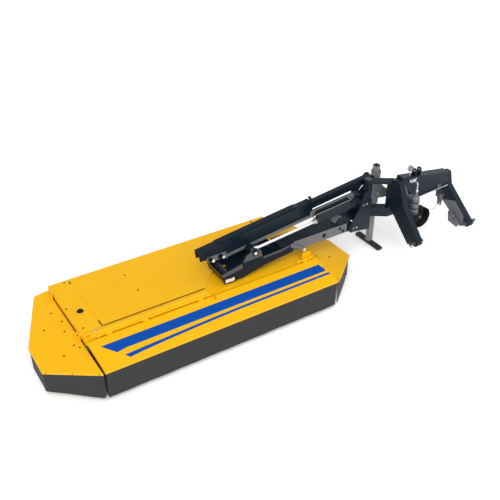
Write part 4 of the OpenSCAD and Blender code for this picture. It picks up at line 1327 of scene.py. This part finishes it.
@dataclass
class SwingFrame:
    """The pin keepers of the swing frame."""

    face: float = 0.468
    pins: Spots = ((3.170, 0.595), (3.290, 0.858))
    washer: Point = (0.0204, 0.032, 0.005)
    keeper: Spots = ((0.024, -0.012), (0.062, -0.012), (0.068, 0.0), (0.062, 0.012), (0.024, 0.012))
    keeper_top: float = 0.0048
    bolt: Point = (0.050, 0, 0.0050)
    head: Spot = (0.014, 0.008)

    def build(self) -> None:
        """Hold each pin with a washer, a keeper plate and a bolt."""
        plates = Form("pin_keepers")
        bolts = Form("keeper_bolts")
        for x, z in self.pins:
            seat = front(self.face) @ move(x, z, 0)
            plates.ring(*self.washer, seat @ move(0, 0, CLEAR))
            plates.prism(self.keeper, CLEAR, self.keeper_top, seat)
            bolts.bolt(seat @ move(*self.bolt), *self.head)
        plates.piece(Body.SWING, DARK, bevel=0.0006)
        bolts.piece(Body.SWING, STEEL)


@dataclass
class Headstock:
    """The fittings of the three-point headstock."""

    beam_face: float = 0.340
    beam_ends: Spot = (3.715, 4.430)
    beam_low: Spot = (0.790, 0.838)
    pipe: float = 0.0065
    pipe_ends: Spot = (3.900, 4.424)
    pipe_y: float = 0.3245
    pipe_lift: float = 0.012
    clips: tuple[float, ...] = (3.915, 4.080, 4.230, 4.400)
    clip_wall: float = 0.003
    clip_half: float = 0.008
    tank: Spot = (3.848, 0.240)
    tank_band: Point = (0.0452, 0.0480, 0.013)
    tank_bands: tuple[float, ...] = (0.706, 0.762, 0.838)
    tank_top: float = 0.968
    valve: Point = (3.848, 0.310, 1.075)
    elbow: Spot = (0.030, 0.009)
    elbow_sides: int = 12
    nut: Spots = ((0, CLEAR), (0.019, CLEAR), (0.019, 0.020), (0.015, 0.024), (0, 0.024))
    gauge: Point = (3.838, 0.356, 1.2006)
    card: Spots = ((0, SEAT), (0.027, SEAT), (0.027, 0.0012), (0, 0.0012))
    rim: Point = (0.027, 0.032, 0.005)
    ticks: range = range(-120, 121, 30)
    tick: tuple[Spot, Spot] = ((-0.0008, 0.0008), (0.018, 0.025))
    tick_z: Spot = (0.0013, 0.0018)
    needle: Spots = ((-0.0016, -0.006), (0.0016, -0.006), (0.0004, 0.021), (-0.0004, 0.021))
    needle_z: Spot = (0.0019, 0.0025)
    needle_turn: float = 50
    hub: Spot = (0.004, 0.002)
    link_pin: Spot = (-0.030, 0.510)
    link_ends: Spots = ((3.5880, 1.0), (4.5570, 1.0), (3.7480, 0.8), (4.3970, 0.8))
    linch: Point = (0.024, -0.030, 0.0042)
    linch_ring: Spot = (0.030, 0.0026)
    linch_hang: float = 0.004
    leg_face: float = 4.430
    leg_plate: Spots = (
        (0.006, 0.484), (0.046, 0.441), (0.335, 0.614), (0.338, 0.649), (0.177, 0.705), (0.020, 0.580))
    leg_plate_top: float = 0.0050
    hanger: Spots = ((0.228, 0.559), (0.189, 0.579), (0.030, 0.470), (0.068, 0.420), (0.203, 0.439))
    hanger_z: Spot = (0.0300, 0.0380)
    hanger_bolts: Spots = ((0.115, 0.508), (0.186, 0.548))
    hanger_head: float = 0.018
    spacer: Spots = ((0, 0.0052), (0.010, 0.0052), (0.010, 0.0298), (0, 0.0298))
    gusset: Spots = ((3.722, 0.940), (3.790, 0.886), (3.826, 0.886), (3.758, 1.032), (3.722, 1.032))
    gusset_top: float = 0.0080
    house_rear: float = 0.464
    house_bolts: Spots = ((3.920, 0.930), (4.070, 0.930), (3.920, 0.720), (4.070, 0.720))
    house_head: Spot = (0.024, 0.014)
    wire_y: float = 0.3286
    wire_route: Spots = ((4.297, 0.780), (4.302, 0.612), (4.262, 0.572), (4.205, 0.592))
    wire: Spot = (0.022, 0.0030)

    def build(self) -> None:
        """Make the pipework, the dial, the rings on the pins and the leg plates."""
        self.pipework()
        self.tank_dressing()
        self.dial()
        self.pin_rings()
        self.plates()

    def pipe_height(self, x: float) -> float:
        """Give the pipe's height, just above the beam's lower edge, at a machine X."""
        share = (x - self.beam_ends[0]) / (self.beam_ends[1] - self.beam_ends[0])
        return self.beam_low[0] + (self.beam_low[1] - self.beam_low[0]) * share + self.pipe_lift

    def pipework(self) -> None:
        """Clip a bright pipe along the beam's lower front edge."""
        form = Form("beam_pipe")
        form.tube([at(x, self.pipe_y, self.pipe_height(x)) for x in self.pipe_ends], self.pipe)
        y = self.pipe_y
        back = self.beam_face - CLEAR
        rim = self.pipe + self.clip_wall
        for x in self.clips:
            z = self.pipe_height(x)
            clip = [(y - rim, z - 0.5 * rim), (y - 0.5 * rim, z - rim), (back, z - rim), (back, z + rim),
                    (y - 0.5 * rim, z + rim), (y - rim, z + 0.5 * rim)]
            form.prism(clip, -self.clip_half, self.clip_half, left(x))
        form.piece(Body.HEADSTOCK, STEEL)

    def tank_dressing(self) -> None:
        """Band the accumulator and join its neck to the valve."""
        bands = Form("tank_bands")
        for z in self.tank_bands:
            bands.ring(*self.tank_band, Matrix.Translation(at(*self.tank, z)))
        bands.piece(Body.HEADSTOCK, DARK)
        elbow = Form("tank_elbow")
        bend, radius = self.elbow
        neck = at(*self.tank, self.tank_top)
        path = [neck, at(*self.tank, self.valve[2]), at(*self.valve)]
        elbow.tube(rounded(path, bend), radius, self.elbow_sides)
        elbow.lathe(self.nut, Matrix.Translation(neck), 6)
        elbow.lathe(self.nut, facing(at(*self.valve), (0, -1, 0)), 6)
        elbow.piece(Body.HEADSTOCK, STEEL)

    def dial(self) -> None:
        """Lay a plain scale on the gauge, with ticks and a needle."""
        x, y, z = self.gauge
        face = front(y) @ move(x, z, 0)
        card = Form("gauge_card")
        card.lathe(self.card, face)
        card.piece(Body.HEADSTOCK, DIAL)
        rim = Form("gauge_rim")
        rim.ring(*self.rim, face @ move(0, 0, SEAT))
        rim.piece(Body.HEADSTOCK, PIN, bevel=0.0008)
        marks = Form("gauge_marks")
        for angle in self.ticks:
            turn = Matrix.Rotation(math.radians(angle), 4, "Z")
            marks.prism(rectangle(*self.tick), *self.tick_z, face @ turn)
        turn = Matrix.Rotation(math.radians(self.needle_turn), 4, "Z")
        marks.prism(self.needle, *self.needle_z, face @ turn)
        marks.dome(face @ move(0, 0, self.tick_z[0]), *self.hub)
        marks.piece(Body.HEADSTOCK, BLACK)

    def pin_rings(self) -> None:
        """Hang a linch pin with its ring on each end of the lower link pins."""
        form = Form("linch_pins")
        y, z = self.link_pin
        top, low, radius = self.linch
        hoop, wire = self.linch_ring
        for x, share in self.link_ends:
            form.tube([at(x, y, z + top), at(x, y, z + low)], radius)
            hung = at(x, y - self.linch_hang, z - self.linch_hang)
            form.loop(facing(hung, (1, 0, 0)), hoop * share, wire)
        form.piece(Body.HEADSTOCK, PIN)

    def plates(self) -> None:
        """Face the right leg's inner side and add the small plates near the legs."""
        face = left(self.leg_face)
        form = Form("leg_plates")
        form.prism(self.leg_plate, CLEAR, self.leg_plate_top, face)
        form.prism(self.hanger, *self.hanger_z, face)
        form.prism(self.gusset, CLEAR, self.gusset_top, front(self.beam_face))
        form.piece(Body.HEADSTOCK, GREY, bevel=0.0010)
        bolts = Form("leg_plate_bolts")
        for spot in self.hanger_bolts:
            bolts.lathe(self.spacer, face @ move(*spot, 0))
            bolts.bolt(face @ move(*spot, self.hanger_z[1] + SEAT), self.hanger_head)
        for spot in self.house_bolts:
            bolts.bolt(rear(self.house_rear) @ move(*spot, CLEAR), *self.house_head)
        bolts.piece(Body.HEADSTOCK, PIN)
        bend, radius = self.wire
        wire = Form("hose_wire")
        wire.tube(rounded([at(x, self.wire_y, z) for x, z in self.wire_route], bend), radius)
        wire.piece(Body.HEADSTOCK, PIN)


@dataclass
class ParkingStand:
    """The cap of the parking stand and the fasteners of its sleeve."""

    cap_half: float = 0.031
    cap_rise: float = 0.014
    bracket_face: float = 0.789
    bracket_bolts: Spots = ((3.838, 0.700), (3.838, 0.765), (3.880, 0.662), (3.880, 0.722))
    sleeve_face: float = 0.800
    sleeve_bolts: Spots = ((3.757, 0.960), (3.757, 0.905))
    head: float = 0.016
    lock: Point = (3.768, 0.728, SEAT)
    lock_pin: Spots = ((0, 0), (0.010, 0), (0.010, 0.020), (0.014, 0.022), (0.014, 0.030), (0, 0.032))
    lock_ring: Point = (0, -0.014, 0.016)
    lock_wire: Spot = (0.016, 0.0025)

    def build(self) -> None:
        """Make the plug in the leg's open top, the bolts and the locking pin."""
        low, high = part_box("stand_leg")
        mid = (low + high) / 2
        side = (-self.cap_half, self.cap_half)
        cap = Form("stand_cap")
        cap.prism(rectangle(side, side), SEAT, self.cap_rise, move(mid.x, mid.y, high.z))
        cap.piece(Body.STAND, BLACK, bevel=0.004)
        bolts = Form("stand_bolts")
        for y, spots in ((self.bracket_face, self.bracket_bolts), (self.sleeve_face, self.sleeve_bolts)):
            for spot in spots:
                bolts.bolt(front(y) @ move(*spot, SEAT), self.head)
        bolts.piece(Body.HEADSTOCK, GREY)
        lock = Form("stand_lock")
        seat = front(self.bracket_face) @ move(*self.lock)
        lock.lathe(self.lock_pin, seat)
        lock.loop(seat @ move(*self.lock_ring) @ UPRIGHT, *self.lock_wire)
        lock.piece(Body.HEADSTOCK, STEEL)


@dataclass
class CutterDiscs:
    """The fasteners on the knife discs."""

    count: int = 7
    knife_bolt: float = 0.156
    knife_head: Spot = (0.024, 0.013)
    flange: float = 0.020
    crown: float = 0.052
    hub_bolts: int = 4
    hub_ring: float = 0.022
    hub_head: Spot = (0.013, 0.008)

    def build(self) -> None:
        """Bolt the knives and the hub of every disc."""
        for number in range(1, self.count + 1):
            low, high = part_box(f"disc_{number}")
            mid = (low + high) / 2
            along = Vector((1, 0, 0)) if number % 2 else Vector((0, 1, 0))
            form = Form(f"disc_{number}_bolts")
            for side in (-1, 1):
                seat = Vector((mid.x, mid.y, low.z + self.flange + SEAT))
                form.bolt(Matrix.Translation(seat + along * self.knife_bolt * side), *self.knife_head)
            hub_bolts = self.hub_bolts if number < self.count else 0
            for i in range(hub_bolts):
                angle = math.pi / 4 + math.pi / 2 * i
                shift = Vector((math.cos(angle), math.sin(angle), 0)) * self.hub_ring
                top = Vector((mid.x, mid.y, low.z + self.crown + SEAT))
                form.bolt(Matrix.Translation(top + shift), *self.hub_head)
            form.piece(Body.CUTTER, STEEL, number=str(number))


@dataclass
class Stage:
    """The floor, the light and the camera."""

    camera_at: Point = (-1.406, -4.692, 4.847)
    camera_turn: Point = (56.266, 0.0, -32.045)
    lens: float = 51.95
    floor_half: float = 60.0
    ambient: float = 0.40
    overhead: float = 0.40
    floor_tone: float = 0.82
    floor_seen: float = 1.28
    horizon: Spot = (0.15, 0.45)
    key_from: Point = (-0.35, -0.65, 0.67)
    key: Spot = (2.36, 50.0)
    fill_from: Point = (0.70, -0.20, 0.68)
    fill: Spot = (0.45, 60.0)

    def build(self) -> None:
        """Set up everything that isn't part of the machine."""
        self.floor()
        self.sky()
        self.lamp("key", self.key_from, *self.key)
        self.lamp("fill", self.fill_from, *self.fill)
        camera = bpy.data.cameras.new("camera")
        camera.lens = self.lens
        holder = bpy.data.objects.new("camera", camera)
        holder.location = at(*self.camera_at)
        holder.rotation_euler = [math.radians(angle) for angle in self.camera_turn]
        bpy.context.scene.collection.objects.link(holder)
        bpy.context.scene.camera = holder
        bpy.context.scene.view_settings.view_transform = "Standard"

    def seen(self, graph: Graph) -> Socket:
        """Tell rays of the camera, of gloss and of glass from rays of light.

        Args:
            graph: The nodes to add to.

        Returns:
            A socket that is 1 on those rays and 0 on the others.
        """
        path = graph.add("ShaderNodeLightPath")
        most = path.outputs["Is Camera Ray"]
        for kind in ("Is Glossy Ray", "Is Transmission Ray"):
            larger = graph.add("ShaderNodeMath", operation="MAXIMUM")
            graph.wire(most, larger.inputs[0])
            graph.wire(path.outputs[kind], larger.inputs[1])
            most = larger.outputs[0]
        return most

    def floor(self) -> None:
        """Lay a white floor that keeps the machine's shadow."""
        half = self.floor_half
        data = bpy.data.meshes.new("floor")
        corners = [(x, y, -MM) for x, y in rectangle((-half, half), (-half, half))]
        data.from_pydata(corners, [], [(0, 1, 2, 3)])
        made = bpy.data.materials.new("studio floor")
        made.use_nodes = True
        graph = Graph(made.node_tree)
        made.node_tree.nodes.remove(made.node_tree.nodes["Principled BSDF"])
        matt = graph.add("ShaderNodeBsdfDiffuse")
        tone = graph.add("ShaderNodeMapRange", {"To Min": self.floor_tone, "To Max": self.floor_seen})
        graph.wire(self.seen(graph), tone.inputs["Value"])
        graph.wire(tone.outputs["Result"], matt.inputs["Color"])
        graph.wire(matt.outputs["BSDF"], made.node_tree.nodes["Material Output"].inputs["Surface"])
        data.materials.append(made)
        board = bpy.data.objects.new("floor", data)
        bpy.context.scene.collection.objects.link(board)

    def sky(self) -> None:
        """Fill the room with even light, white round the horizon and dimmer overhead where it is seen."""
        world = bpy.data.worlds.new("studio")
        bpy.context.scene.world = world
        world.use_nodes = True
        graph = Graph(world.node_tree)
        shade = world.node_tree.nodes["Background"]
        shade.inputs["Color"].default_value = (1.0, 1.0, 1.0, 1.0)
        axes = graph.add("ShaderNodeSeparateXYZ")
        graph.wire(graph.add("ShaderNodeTexCoord").outputs["Generated"], axes.inputs["Vector"])
        low, high = self.horizon
        span = {"From Min": low, "From Max": high, "To Min": 1.0, "To Max": self.overhead}
        height = graph.add("ShaderNodeMapRange", span)
        graph.wire(axes.outputs["Z"], height.inputs["Value"])
        level = graph.add("ShaderNodeMapRange", {"To Min": self.ambient})
        graph.wire(self.seen(graph), level.inputs["Value"])
        graph.wire(height.outputs["Result"], level.inputs["To Max"])
        graph.wire(level.outputs["Result"], shade.inputs["Strength"])

    def lamp(self, name: str, direction: Point, strength: float, spread: float) -> None:
        """Hang a broad lamp far away.

        Args:
            name: The lamp's name.
            direction: Which way the lamp is, from the machine.
            strength: Its light on a face turned towards it.
            spread: How wide it looks, in degrees.
        """
        data = bpy.data.lights.new(name, "SUN")
        data.energy = strength
        data.angle = math.radians(spread)
        holder = bpy.data.objects.new(name, data)
        holder.rotation_euler = Vector(direction).to_track_quat("Z", "Y").to_euler()
        bpy.context.scene.collection.objects.link(holder)


def main() -> None:
    """Build the machine's dressing in order, then the stage."""
    Paintwork().dress()
    assemblies = (Cover, Livery, Curtains, LowerArm, UpperArm, LiftCylinder, SwingFrame, Headstock,
                  ParkingStand, CutterDiscs, Stage)
    for assembly in assemblies:
        LOG.info("building %s", assembly.__name__)
        assembly().build()


if __name__ == "__main__":
    main()
